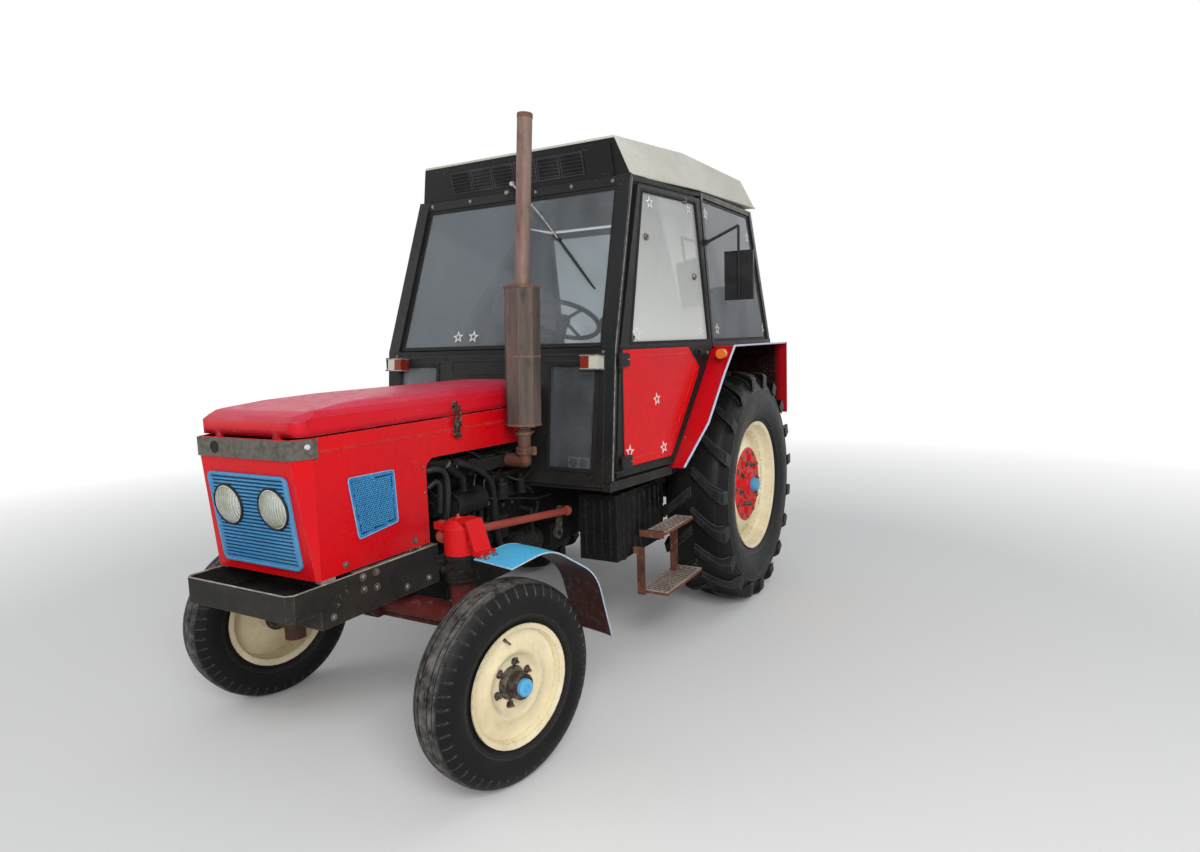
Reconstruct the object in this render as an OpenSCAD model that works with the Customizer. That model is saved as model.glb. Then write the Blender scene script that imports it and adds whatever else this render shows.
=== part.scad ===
// Two-wheel-drive farm tractor with a closed cab, in millimetres.
// The front faces -Y, the tractor's left side is +X and the ground is z = 0.
// Inside the modules y = 0 is the rear axle; placed() centres the outline on the origin.

/* [Wheels] */
// Distance from the front axle to the rear axle
wheelbase = 2225; // [2150:5:2350]
// Distance between the centre planes of the rear wheels
rear_track = 1500; // [1460:2:1560]
// Distance between the centre planes of the front wheels
front_track = 1420; // [1400:2:1480]
// Radius of the rear tyre over its lugs
rear_tyre_r = 680; // [650:2:700]
// Width of the rear tyre
rear_tyre_w = 372; // [350:2:380]
// Radius of the rear rim's flange
rear_rim_r = 381; // [360:1:400]
// Radius of the front tyre over its ribs
front_tyre_r = 367; // [350:1:380]
// Width of the front tyre
front_tyre_w = 170; // [150:2:190]
// Radius of the front rim's flange
front_rim_r = 221; // [205:1:235]

/* [Front axle and steering] */
// Distance of each kingpin from the middle plane
kingpin_x = 485; // [475:1:500]
// Diameter of the kingpin
kingpin_d = 50; // [36:1:60]
// Angle at which the front wheels stand, towards the tractor's right
parked_steer = 12; // [0:1:20]
// Length of the drag link's arm on the left knuckle
drag_arm = 110; // [90:1:130]
// Length of each track-rod arm
track_arm = 150; // [130:1:170]
// Height of the track rod
track_rod_z = 400; // [385:1:410]
// Radial clearance of pins and shafts that turn
run_gap = 0.4; // [0.3:0.05:0.6]

/* [Body] */
// Half of the bonnet's width
hood_hw = 263; // [250:1:275]
// Height of the seam between the side panels and the bonnet lid
seam_z = 1286; // [1270:1:1300]
// Height of the bonnet lid's ridge
hood_top_z = 1400; // [1380:1:1420]
// Distance of the nose ahead of the rear axle
nose_y = 2748; // [2740:1:2790]
// Bottom edge of the nose panels
nose_bottom_z = 796; // [790:1:810]
// Rear end of the bonnet lid, ahead of the rear axle
hood_rear_y = 1420; // [1410:1:1440]
// Thickness of the sheet metal
sheet = 4; // [3:0.5:6]
// Distance of the front tray ahead of the rear axle
tray_y = 2822; // [2815:1:2850]
// Half of the front tray's width
tray_hw = 275; // [265:1:290]

/* [Cab] */
// Half of the cab's width at its front corners
cab_front_hw = 690; // [670:1:700]
// Angle by which the door's wall opens out towards the rear
door_splay = 8.2; // [7:0.1:9]
// Angle by which the windows lean inwards
window_lean = 4.3; // [3:0.1:5]
// Distance of the cab's front corner ahead of the rear axle
cab_front_y = 1325; // [1315:1:1345]
// Height of the window sills above the top of the rear tyres
belt_rise = 180; // [165:1:190]
// Height of the door sill
sill_z = 930; // [915:1:940]
// Height of the underside of the roof
eave_z = 2345; // [2330:1:2360]
// Height of the roof's top
roof_z = 2550; // [2520:1:2580]
// Length of the door's wall, from the front corner to the post behind the door
door_len = 888; // [870:1:900]
// Thickness of the door and wall frames
frame_t = 34; // [28:1:40]
// Thickness of the window glass
glass_t = 6; // [4:1:8]
// Gap round the doors
door_gap = 8; // [7:0.5:10]

/* [Rear hitch] */
// Length of the lower links between their ball centres
link_len = 800; // [760:5:850]
// Half of the distance between the lower links' rear balls
link_ball_x = 410; // [390:1:430]
// Bore of the lower links' rear balls
link_bore_d = 28.7; // [22:0.1:36]
// Distance along the lower link to the lift rod's pin
lift_pin_at = 300; // [280:5:340]
// Diameter of the power take-off shaft
pto_d = 34.9; // [34.9, 44.4]
// Bore of the drawbar's pin hole
drawbar_bore_d = 32; // [26:1:38]

/* [Hidden] */
$fn = 48;

big = 4000;
belt_z = 2 * rear_tyre_r + belt_rise;

// Rear hitch points, in the side view
link_pin_y = 60;
link_pin_z = 440;
link_pin_x = 250;
arm_pin_y = 130;
arm_pin_z = 900;
link_end_r = 38;
link_end_y = link_pin_y + link_len;

// Moves the outline's middle to the origin
y_shift = (tray_y - link_end_y - link_end_r) / 2;

rear_x = rear_track / 2;
front_x = front_track / 2;
spindle_len = front_x - kingpin_x;

module placed() { translate([0, y_shift, 0]) children(); }
module both_sides() { children(); mirror([1, 0, 0]) children(); }

// A straight square bar between two points, w wide across and d deep
module bar(p, q, w, d, extra = 0) {
    v = q - p;
    len = norm(v);
    translate(p) rotate([-asin(v.y / len), atan2(v.x, v.z), 0])
        translate([-w / 2, -d / 2, -extra]) cube([w, d, len + 2 * extra]);
}

// A straight bar that runs mostly along Y, w wide and h high
module beam(p, q, w, h, extra = 0) {
    v = q - p;
    len = norm(v);
    translate(p) rotate([asin(v.z / len), 0, -atan2(v.x, v.y)])
        translate([-w / 2, -extra, -h / 2]) cube([w, len + 2 * extra, h]);
}

// A straight round rod between two points, turned about its own line by turn
module rod(p, q, r, turn = 0) {
    v = q - p;
    len = norm(v);
    translate(p) rotate([-asin(v.y / len), atan2(v.x, v.z), 0]) rotate([0, 0, turn]) cylinder(r = r, h = len);
}

// A bent round pipe through a list of points
module pipe(points, r) {
    for (i = [1:len(points) - 1]) {
        rod(points[i - 1], points[i], r);
        if (i < len(points) - 1) translate(points[i]) sphere(r = r + 0.8);
    }
}

// A flat rectangle with round corners
module rounded(x0, x1, z0, z1, r) {
    translate([x0 + r, z0]) square([x1 - x0 - 2 * r, z1 - z0]);
    translate([x0, z0 + r]) square([x1 - x0, z1 - z0 - 2 * r]);
    for (x = [x0 + r, x1 - r], z = [z0 + r, z1 - r]) translate([x, z]) circle(r = r);
}

// A sheet drawn in the side view (y to the right, z up), from x0 to x1
module side_plate(x0, x1) {
    translate([x0, 0, 0]) rotate([90, 0, 90]) linear_extrude(x1 - x0) children();
}

// A sheet drawn in the front view (x to the right, z up), from y0 to y1
module front_plate(y0, y1) {
    translate([0, y1, 0]) rotate([90, 0, 0]) linear_extrude(y1 - y0) children();
}

// A cylinder along X between x0 and x1 at (y, z)
module x_cyl(x0, x1, y, z, r) {
    translate([x0, y, z]) rotate([0, 90, 0]) cylinder(r = r, h = x1 - x0);
}

// A cylinder along Y between y0 and y1 at (x, z)
module y_cyl(y0, y1, x, z, r) {
    translate([x, y0, z]) rotate([-90, 0, 0]) cylinder(r = r, h = y1 - y0);
}

// A ring drawn as (radius, x) and turned about the X axis
module x_turn() { rotate([0, 90, 0]) rotate_extrude($fn = 96) children(); }

module block(x0, x1, y0, y1, z0, z1) {
    translate([x0, y0, z0]) cube([x1 - x0, y1 - y0, z1 - z0]);
}

// Wheels

// Tyre section, as radius against x, with x = 0 in the centre plane
module tyre_section(r, rim_r, w) {
    hw = w / 2;
    difference() {
        polygon([[rim_r - 14, -hw * 0.74], [rim_r + 22, -hw * 0.84], [rim_r + (r - rim_r) * 0.45, -hw],
            [r - (r - rim_r) * 0.22, -hw * 0.92], [r - 10, -hw * 0.72], [r, -hw * 0.4],
            [r, hw * 0.4], [r - 10, hw * 0.72], [r - (r - rim_r) * 0.22, hw * 0.92],
            [rim_r + (r - rim_r) * 0.45, hw], [rim_r + 22, hw * 0.84], [rim_r - 14, hw * 0.74]]);
        polygon([[rim_r - 20, -hw * 0.58], [rim_r + 30, -hw * 0.66], [rim_r + (r - rim_r) * 0.5, -hw * 0.84],
            [r - 60, -hw * 0.66], [r - 60, hw * 0.66], [rim_r + (r - rim_r) * 0.5, hw * 0.84],
            [rim_r + 30, hw * 0.66], [rim_r - 20, hw * 0.58]]);
    }
}

// Lugs of the rear tyre: height, width along the tread, angle across it and number on each side
lug_h = 27;
lug_w = 38;
lug_angle = 42;
lug_count = 19;
module rear_tyre() {
    hw = rear_tyre_w / 2;
    color("#20201f") translate([rear_x, 0, rear_tyre_r]) {
        x_turn() tyre_section(rear_tyre_r - lug_h, rear_rim_r, rear_tyre_w);
        intersection() {
            for (side = [-1, 1], i = [0:lug_count - 1]) rotate([(i + side / 4) * 360 / lug_count, 0, 0])
                translate([side * hw * 0.46, 0, rear_tyre_r - 60]) rotate([0, 0, -side * lug_angle])
                    translate([-hw * 0.68, -lug_w / 2, 0]) cube([hw * 1.36, lug_w, 120]);
            x_turn() polygon([[rear_tyre_r - lug_h - 34, -hw * 0.95], [rear_tyre_r - 24, -hw * 0.97],
                [rear_tyre_r - 4, -hw * 0.8], [rear_tyre_r, -hw * 0.4], [rear_tyre_r, hw * 0.4],
                [rear_tyre_r - 4, hw * 0.8], [rear_tyre_r - 24, hw * 0.97],
                    [rear_tyre_r - lug_h - 34, hw * 0.95],
                [rear_tyre_r - lug_h - 6, hw * 0.5], [rear_tyre_r - lug_h - 6, -hw * 0.5]]);
        }
    }
}

// Rim well and flanges as one sheet, with the disc set in by disc_x
module rim_section(rim_r, w, t) {
    hw = w * 0.37;
    polygon([[rim_r, -hw - 16], [rim_r, -hw - 8], [rim_r - 16, -hw - 4], [rim_r - 22, -hw + 30],
        [rim_r - 52, -hw + 60], [rim_r - 52, hw - 60], [rim_r - 22, hw - 30], [rim_r - 16, hw + 4],
        [rim_r, hw + 8], [rim_r, hw + 16], [rim_r - 16 - t, hw + 6], [rim_r - 22 - t, hw - 34],
        [rim_r - 52 - t, hw - 60 - t], [rim_r - 52 - t, -hw + 60 + t], [rim_r - 22 - t, -hw + 34],
        [rim_r - 16 - t, -hw - 6]]);
}

// Hub from the axle housing out to the disc's face, and the shaft's end in front of it
rear_hub_x = 590;
rear_hub_r = 75;
rear_face_x = 850;
rear_face_r = 218;
rear_shaft_r = 36;
rear_shaft_x = 915;
module rear_rim() {
    well_r = rear_rim_r - 56;
    color("#e9d9ac") translate([rear_x, 0, rear_tyre_r]) x_turn()
        rim_section(rear_rim_r, rear_tyre_w, 6);
    // hub, its disc and the dished disc round it
    color("#d21c1c") translate([0, 0, rear_tyre_r]) x_turn()
        polygon([[0, rear_hub_x], [110, rear_hub_x], [110, rear_hub_x + 20], [rear_hub_r, rear_hub_x + 26],
            [rear_hub_r, rear_face_x - 50], [110, rear_face_x - 18], [rear_face_r, rear_face_x - 18],
            [well_r, rear_x + 30], [well_r, rear_x + 42], [rear_face_r + 6, rear_face_x - 6],
            [rear_face_r - 4, rear_face_x], [96, rear_face_x], [86, rear_face_x + 12],
            [rear_shaft_r + 16, rear_face_x + 14], [rear_shaft_r, rear_face_x + 22],
            [rear_shaft_r, rear_shaft_x], [0, rear_shaft_x]]);
}

hub_clear = 0.4;
front_hub_r = 62;
module front_wheel_at(side) {
    translate([side * kingpin_x, -wheelbase, front_tyre_r]) rotate([0, 0, -parked_steer])
        translate([side * spindle_len, 0, 0]) mirror([side < 0 ? 1 : 0, 0, 0]) children();
}

// Grooves between the ribs of the front tyre
groove_w = 11;
groove_h = 12;
module front_tyre() color("#20201f") difference() {
    x_turn() tyre_section(front_tyre_r, front_rim_r, front_tyre_w);
    x_turn() for (x = [-1, 1] * front_tyre_w * 0.14)
        translate([front_tyre_r - groove_h, x - groove_w / 2]) square([groove_h + 5, groove_w]);
}

spindle_r = 24;
module front_rim() {
    hw = front_tyre_w * 0.37;
    color("#e9d9ac") x_turn() {
        polygon([[front_rim_r, -hw - 14], [front_rim_r, -hw - 7], [front_rim_r - 14, -hw - 3],
            [front_rim_r - 20, hw - 40], [front_rim_r - 20, hw - 10], [front_rim_r - 14, hw + 3],
            [front_rim_r, hw + 7], [front_rim_r, hw + 14], [front_rim_r - 19, hw + 5],
            [front_rim_r - 25, hw - 12], [front_rim_r - 25, -hw - 4]]);
        polygon([[spindle_r + hub_clear, -70], [front_hub_r, -70], [front_hub_r, 8], [110, 14],
            [front_rim_r - 24, hw - 30], [front_rim_r - 24, hw - 22], [108, 22], [front_hub_r, 18],
            [46, 40], [46, 88], [0, 88], [0, 62], [spindle_r + hub_clear, 62]]);
    }
}

// Front axle and steering

axle_end_top = 800;
axle_end_bottom = 455;
axle_sleeve_r = 46;
module front_axle() placed() color("#4d2a22") translate([0, -wheelbase, 0]) {
    both_sides() difference() {
        union() {
            translate([kingpin_x, 0, axle_end_bottom])
                cylinder(r = axle_sleeve_r, h = axle_end_top - axle_end_bottom);
            translate([kingpin_x, 0, axle_end_top - 96]) cylinder(r = axle_sleeve_r + 14, h = 96);
            x_cyl(60, kingpin_x - 10, 0, 560, 42);
        }
        translate([kingpin_x, 0, axle_end_bottom - 1])
            cylinder(d = kingpin_d + 2 * run_gap, h = axle_end_top - axle_end_bottom + 2);
    }
    block(-90, 90, -55, 55, 505, 617);
}

// Fender over a front wheel: rows of [distance behind the axle, height above the axle]
fender_rows = [[-40, 443], [150, 472], [390, 318], [468, 45]];
steer_arm_z = 890;
knuckle_gap = 1;
cap_r = 62;
cap_h = 128;
// Top of the front fender in the side view: rise for each mm behind the axle
fender_slope = (fender_rows[1].y - fender_rows[0].y) / (fender_rows[1].x - fender_rows[0].x);
function fender_z(y) = front_tyre_r + fender_rows[0].y + (y - fender_rows[0].x) * fender_slope;
// Steering knuckle with its kingpin, turned to the parked steering angle
module knuckle_body(side) {
    foot_z = front_tyre_r - 60;
    color("#c32022") translate([side * kingpin_x, -wheelbase, 0]) rotate([0, 0, -parked_steer]) {
        // kingpin, spindle and its boss
        translate([0, 0, foot_z]) cylinder(d = kingpin_d, h = axle_end_top + cap_h - foot_z);
        translate([0, 0, foot_z]) cylinder(r = 44, h = axle_end_bottom - knuckle_gap - foot_z);
        mirror([side < 0 ? 1 : 0, 0, 0]) {
            x_cyl(0, spindle_len + 50, 0, front_tyre_r, spindle_r);
            x_cyl(20, spindle_len - 78, 0, front_tyre_r, 36);
        }
        // cap over the kingpin
        translate([0, 0, axle_end_top + knuckle_gap]) cylinder(r = cap_r, h = cap_h - 28);
        translate([0, 0, axle_end_top + knuckle_gap + cap_h - 28])
            cylinder(r1 = cap_r, r2 = cap_r - 20, h = 28);
        // track-rod arm
        side_plate(-16, 16) polygon([[20, track_rod_z - 14], [track_arm + 24, track_rod_z - 14],
            [track_arm + 24, track_rod_z + 14], [20, track_rod_z + 14]]);
        translate([0, track_arm, track_rod_z]) cylinder(r = 12, h = 60);
        // strap that carries the fender
        mirror([side < 0 ? 1 : 0, 0, 0]) {
            foot = fender_z(strap_y1) + 0.3;
            front_plate(strap_y0, strap_y1) polygon([[10, strap_z - 12], [69, strap_z - 12], [112, foot + 2],
                [125, foot + 2], [78, strap_z], [10, strap_z]]);
            side_plate(108, 150) polygon([[strap_y0, fender_z(strap_y0) + 0.3], [strap_y1, foot],
                [strap_y1, foot + 7], [strap_y0, foot + 7]]);
        }
        if (side > 0) {
            block(-drag_arm - 24, 0, -20, 20, steer_arm_z - 14, steer_arm_z + 14);
        }
    }
}

strap_y0 = -32;
strap_y1 = 42;
strap_z = axle_end_top + cap_h + 8;
track_eye_z = track_rod_z + 14 + 6;
drag_y = -wheelbase + drag_arm * sin(parked_steer);
drag_x = kingpin_x - drag_arm * cos(parked_steer);

module left_knuckle() placed() difference() {
    knuckle_body(1);
    translate([drag_x, drag_y, steer_arm_z - 50]) cylinder(r = 12 + run_gap, h = 100);
}
module right_knuckle() placed() knuckle_body(-1);

track_y = -wheelbase + track_arm * cos(parked_steer);
track_x = track_arm * sin(parked_steer);
module track_rod() placed() color("#5a2a22") {
    for (side = [-1, 1]) difference() {
        translate([side * kingpin_x + track_x, track_y, track_eye_z]) cylinder(r = 26, h = 32);
        translate([side * kingpin_x + track_x, track_y, track_eye_z - 1]) cylinder(r = 12 + run_gap, h = 34);
    }
    x_cyl(-kingpin_x + track_x + 20, kingpin_x + track_x - 20, track_y, track_eye_z + 16, 15);
}

pitman_pin_y = -1330;
pitman_pin_z = 647;
pitman_z = pitman_pin_z + drag_arm * cos(parked_steer);
pitman_x = 336;
module drag_link() placed() color("#b04038") {
    front = [drag_x, drag_y, steer_arm_z - 14 - 30];
    rear = [drag_x, pitman_pin_y + drag_arm * sin(parked_steer), pitman_z];
    translate(front) sphere(r = 26);
    translate(front) cylinder(r = 12, h = 60);
    rod(front, rear, 17);
    translate(rear) sphere(r = 25);
}

module pitman_arm() placed() color("#2b2b2b")
    translate([0, pitman_pin_y, pitman_pin_z]) rotate([-parked_steer, 0, 0]) difference() {
        union() {
            x_cyl(pitman_x - 8, pitman_x + 8, 0, 0, 30);
            x_cyl(pitman_x - 8, pitman_x + 8, 0, drag_arm, 22);
            block(pitman_x - 8, pitman_x + 8, -18, 18, 0, drag_arm);
        }
        x_cyl(pitman_x - 9, pitman_x + 13, 0, 0, 12 + run_gap);
    }

fender_hw = 102;
fender_t = 5;
module front_fender(side) {
    n = len(fender_rows);
    front_wheel_at(side) side_plate(-fender_hw, fender_hw)
        polygon(concat(fender_rows, [for (i = [n - 1:-1:0]) fender_rows[i] + [-fender_t * 0.6, -fender_t]]));
}
module left_front_fender() placed() color("#4fb4e0") front_fender(1);
module right_front_fender() placed() color("#4fb4e0") front_fender(-1);

// Chassis and engine

engine_front_y = -1960;
tray_top_z = 785;
tray_bottom_z = 694;
tray_corner = 20;
frame_bottom_z = 632;
module front_frame() placed() color("#262626") {
    difference() {
        translate([0, 0, tray_bottom_z]) linear_extrude(tray_top_z - tray_bottom_z)
            polygon([[-tray_hw, -2120], [-tray_hw, -tray_y + tray_corner], [-tray_hw + tray_corner, -tray_y],
                [tray_hw - tray_corner, -tray_y], [tray_hw, -tray_y + tray_corner], [tray_hw, -2120]]);
        translate([0, 0, tray_bottom_z + 12]) linear_extrude(tray_top_z)
            polygon([[-tray_hw + 9, -2540], [-tray_hw + 9, -tray_y + tray_corner + 4],
                [-tray_hw + tray_corner + 4, -tray_y + 9], [tray_hw - tray_corner - 4, -tray_y + 9],
                [tray_hw - 9, -tray_y + tray_corner + 4], [tray_hw - 9, -2540]]);
        block(-tray_hw + 90, tray_hw - 90, -2400, -2110, tray_bottom_z - 1, tray_top_z + 1);
    }
    // side rails below the tray, and the cross member ahead of them
    both_sides() block(tray_hw - 36, tray_hw, -2700, -2120, frame_bottom_z, tray_bottom_z + 1);
    block(-tray_hw, tray_hw, -2700, -2680, frame_bottom_z, tray_bottom_z + 1);
    // beam over the axle's pivot and the rails that reach the engine
    block(-190, 190, -2400, -2100, 640, 740);
    both_sides() block(120, 190, -2101, engine_front_y - 0.3, 640, 700);
    block(-110, 110, -2330, -2120, 617.3, 640);
    // pads under the nose panels
    both_sides() for (y = [-2680, -2260])
        block(hood_hw - 30, hood_hw, y, y + 60, tray_top_z - 1, nose_bottom_z - 0.3);
}

engine_hw = 200;
engine_rear_y = -1440;
module engine() placed() color("#2e2d2b") {
    // crankcase, sump, cylinder block, head, rocker cover and belt-end cover
    block(-engine_hw, engine_hw, engine_front_y, engine_rear_y, 560, 840);
    block(-150, 150, engine_front_y + 20, engine_rear_y, 470, 560);
    block(-engine_hw + 25, engine_hw - 25, engine_front_y, engine_rear_y, 840, 1010);
    block(-engine_hw + 10, engine_hw - 10, engine_front_y + 20, engine_rear_y - 10, 1010, 1090);
    block(-120, 120, engine_front_y + 40, engine_rear_y - 20, 1090, 1190);
    block(-112, 112, engine_front_y - 24, engine_front_y + 1, 600, 1000);
    // ribs on the crankcase
    both_sides() for (i = [0:2])
        block(engine_hw - 1, engine_hw + 7, -1930 + i * 105, -1916 + i * 105, 600, 690);
}

module engine_fittings() placed() color("#3a3836") {
    front = engine_front_y - 24.3;
    side = engine_hw + 0.3;
    // pulleys, fan and the belt round them
    y_cyl(front - 30, front, 0, 700, 95);
    y_cyl(front - 44, front, 0, 945, 62);
    y_cyl(front - 30, front, 165, 905, 48);
    front_plate(front - 20, front - 8) difference() {
        polygon([[-96, 690], [-64, 955], [-30, 1008], [30, 1008], [195, 943], [214, 900], [200, 860],
            [80, 640], [0, 604],
            [-70, 635]]);
        polygon([[-86, 692], [-55, 950], [-24, 998], [26, 998], [187, 936], [203, 899], [191, 865],
            [72, 648], [0, 614],
            [-62, 643]]);
    }
    for (a = [15:60:345]) translate([0, front - 40, 945]) rotate([0, a, 0]) rotate([28, 0, 0])
        block(40, 190, -3, 3, -34, 34);
    // generator with its bracket
    y_cyl(front + 0.6, front + 190, 232, 905, 56);
    block(engine_hw - 24.7, 232, front + 60, front + 110, 870, 900);
    // exhaust manifold
    block(engine_hw - 9.7, 262, -1880, -1520, 1022, 1072);
    for (i = [0:2]) block(engine_hw - 9.7, 240, -1860 + i * 130, -1810 + i * 130, 1012, 1080);
    // injection pump, its filter and box, starter
    block(side, 268, -1880, -1640, 700, 800);
    for (i = [0:3]) translate([238, -1850 + i * 55, 799]) cylinder(r = 15, h = 62);
    block(engine_hw - 24.7, 262, -1720, -1530, 880, 990);
    y_cyl(-1640, -1442, side + 66, 640, 58);
    for (i = [0:5]) y_cyl(-1620 + i * 26, -1608 + i * 26, side + 66, 640, 65.5);
    translate([side + 42.3, -1935, 700]) cylinder(r = 42, h = 118);
    // hose from the radiator's top, down to the pump, and a pipe
    pipe([[205, -2459.4, 1120], [214, -2200, 1120], [225, -1990, 1085], [236, -1905, 1010],
        [236, -1890, 810]], 19);
    pipe([[240, -1500, 800], [300, -1500, 790], [306, -1500, 620]], 12);
    // filter on the other side
    block(-280, -side, -1800, -1500, 700, 860);
    translate([-250, -1880, 860]) cylinder(r = 48, h = 150);
    block(-252, -engine_hw + 24.7, -1892, -1868, 880, 920);
}

module radiator() placed() color("#1f1f1f") {
    difference() {
        block(-225, 225, -2560, -2460.6, tray_top_z + 0.3, 1230);
        block(-195, 195, -2561, -2520, tray_top_z + 40, 1190);
    }
    block(-200, 200, -2400, -2160, tray_top_z + 0.3, 960);
    for (x = [-140, 140]) block(x - 20, x + 20, -2400, -2160, 960.3, 975);
}

floor_top_z = sill_z - 28;
floor_t = 18;
deck_top_z = 1100;
housing_hw = 220;
module transmission() placed() color("#2a2927") {
    block(-170, 170, engine_rear_y, -420, 520, 860);
    block(-housing_hw, housing_hw, -420, arm_pin_y - 60, 470, floor_top_z - floor_t - 4);
    block(-200, 200, arm_pin_y - 70, 190, 470, floor_top_z - floor_t - 4);
    both_sides() {
        x_cyl(housing_hw - 1, 520, 0, rear_tyre_r, 120);
        x_cyl(520, rear_hub_x - run_gap, 0, rear_tyre_r, 150);
    }
    // mounts under the cab floor
    both_sides() for (y = [-380, -20]) block(120, 190, y, y + 80, 870, floor_top_z - floor_t - 0.3);
    // rocker shaft of the lift in its housing
    block(-200, 200, 60, 190, 860, 960);
    x_cyl(-235, 235, arm_pin_y, arm_pin_z, 28);
    // steering box
    block(168, pitman_x - 8 - run_gap, pitman_pin_y - 50, pitman_pin_y + 60, pitman_pin_z - 60,
        pitman_pin_z + 50);
    x_cyl(pitman_x - 20, pitman_x + 12, pitman_pin_y, pitman_pin_z, 12);
}

// Nose and bonnet

// The nose's front wall leans back by nose_lean from the grey band to its foot
nose_lean = 53;
grille_hw = 206;
grille_top_z = 1158;
grille_bottom_z = 829;
band_top_z = 1278;
band_bottom_z = 1212;
hood_front_side_y = 2680;
lean_angle = atan(nose_lean / (band_bottom_z - nose_bottom_z));
// Height on the leaning wall, down from the band, of a point at height z
function down(z) = (z - band_bottom_z) / cos(lean_angle);
module on_nose() { translate([0, -nose_y, band_bottom_z]) rotate([lean_angle, 0, 0]) children(); }
panel_rear_y = 1440;
lid_front_y = nose_y - 24;
hood_hinge_y = -lid_front_y + 2;
hood_hinge_z = seam_z - 6;
hinge_x = 150;
panel_top_z = seam_z - 6;

// Plan of the nose and side panels, drawn in by d
module nose_plan(d) {
    side = hood_hw - d;
    front = hood_hw - 30 - d * 0.6;
    polygon([[-side, -panel_rear_y + d], [-side, -hood_front_side_y], [-front, -nose_y + d],
        [front, -nose_y + d], [side, -hood_front_side_y], [side, -panel_rear_y + d]]);
}

// Nose and side panels in the side view, drawn in by d at the front: the front wall leans,
// and a cut-out with a round corner shows the engine
cut_front_y = 2148;
cut_top_z = 1130;
cut_r = 50;
module panel_outline(d) {
    foot_y = -nose_y + d + nose_lean + d * tan(lean_angle);
    difference() {
        polygon([[-nose_y + d, panel_top_z + d], [-nose_y + d, band_bottom_z], [foot_y, nose_bottom_z - d],
            [-panel_rear_y + d, nose_bottom_z - d], [-panel_rear_y + d, panel_top_z + d]]);
        polygon([[-cut_front_y, nose_bottom_z - 9], [-cut_front_y, cut_top_z - cut_r],
            [-cut_front_y + cut_r, cut_top_z],
            [-panel_rear_y + 9, cut_top_z - 12], [-panel_rear_y + 9, nose_bottom_z - 9]]);
        translate([-cut_front_y + cut_r, cut_top_z - cut_r]) circle(r = cut_r);
    }
}

// The whole nose as a solid, drawn in by d
module nose_body(d) {
    intersection() {
        translate([0, 0, nose_bottom_z - d]) linear_extrude(panel_top_z - nose_bottom_z + 2 * d) nose_plan(d);
        side_plate(-hood_hw - 1, hood_hw + 1) panel_outline(d);
    }
}

module nose_shell() placed() color("#dc1f22") {
    difference() {
        nose_body(0);
        nose_body(sheet);
        on_nose() front_plate(-20, 30)
            rounded(-grille_hw, grille_hw, down(grille_bottom_z), down(grille_top_z), 24);
        side_plate(-hood_hw - 1, hood_hw + 1) mesh_shape(mesh_rim);
    }
    // hinge lugs and pins of the bonnet lid
    both_sides() {
        block(hinge_x + 14, hinge_x + 22, -nose_y + 1, hood_hinge_y + 8, 1225, hood_hinge_z - 3);
        x_cyl(hinge_x - 14, hinge_x + 16, hood_hinge_y, hood_hinge_z, 5);
    }
}

lamp_x = 118;
lamp_z = 1043;
lamp_r = 64;
lamp_wall = 9;
// Slats of the grille
slot_pitch = 13.4;
slot_h = 6.4;
module grille() placed() color("#4c9cd6") on_nose() {
    gap = 0.3;
    bottom = down(grille_bottom_z) + gap;
    top = down(grille_top_z) - gap;
    count = floor((top - bottom - 34) / slot_pitch);
    difference() {
        union() {
            front_plate(-7, 7) difference() {
                rounded(-grille_hw + gap, grille_hw - gap, bottom, top, 24);
                for (i = [0:count]) translate([-grille_hw + 20, bottom + 17 + i * slot_pitch])
                    square([2 * grille_hw - 40, slot_h]);
            }
            for (side = [-1, 1]) y_cyl(-9, 55, side * lamp_x, down(lamp_z), lamp_r + lamp_wall);
        }
        for (side = [-1, 1]) y_cyl(-10, 56, side * lamp_x, down(lamp_z), lamp_r);
    }
}

module headlamps() placed() color("#e8eef2") on_nose() for (side = [-1, 1]) {
    y_cyl(16, 50, side * lamp_x, down(lamp_z), lamp_r - 0.6);
    translate([side * lamp_x, 16.1, down(lamp_z)]) rotate([90, 0, 0])
        cylinder(r1 = lamp_r - 4, r2 = lamp_r - 26, h = 9);
}

mesh_outline = [[-2543, 1122], [-2324, 1118], [-2315, 920], [-2508, 898]];
mesh_rim = 6;
// The mesh's place in the side view, drawn in by d percent
module mesh_shape(d) {
    mid = (mesh_outline[0] + mesh_outline[1] + mesh_outline[2] + mesh_outline[3]) / 4;
    polygon([for (p = mesh_outline) p - (p - mid) * d / 100]);
}
module side_meshes() placed() color("#4fa6dc") both_sides() {
    side_plate(hood_hw + 0.3, hood_hw + 4) difference() {
        mesh_shape(0);
        mesh_shape(2 * mesh_rim);
    }
    side_plate(hood_hw - 2, hood_hw + 2) mesh_shape(mesh_rim + 0.3);
}

module hood_trim() placed() color("#8b8b85")
    translate([0, 0, band_bottom_z]) linear_extrude(band_top_z - band_bottom_z) difference() {
        nose_plan(-6);
        nose_plan(0);
        translate([-500, -hood_front_side_y + 20]) square([1000, 2000]);
    }

// Bonnet lid: cross-section, drawn in by d
lid_z = seam_z;
module lid_section(d) {
    half = [[hood_hw - d, lid_z - 1], [hood_hw - d, lid_z + 10], [hood_hw - 5 - d, lid_z + 60],
        [hood_hw - 16 - d, hood_top_z - 34 - d * 0.7], [hood_hw - 38 - d * 0.7, hood_top_z - 16 - d],
        [hood_hw - 86 - d * 0.5, hood_top_z - 5 - d], [hood_hw - 150, hood_top_z - d]];
    polygon(concat(half, [for (i = [len(half) - 1:-1:0]) [-half[i].x, half[i].y]]));
}
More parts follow.
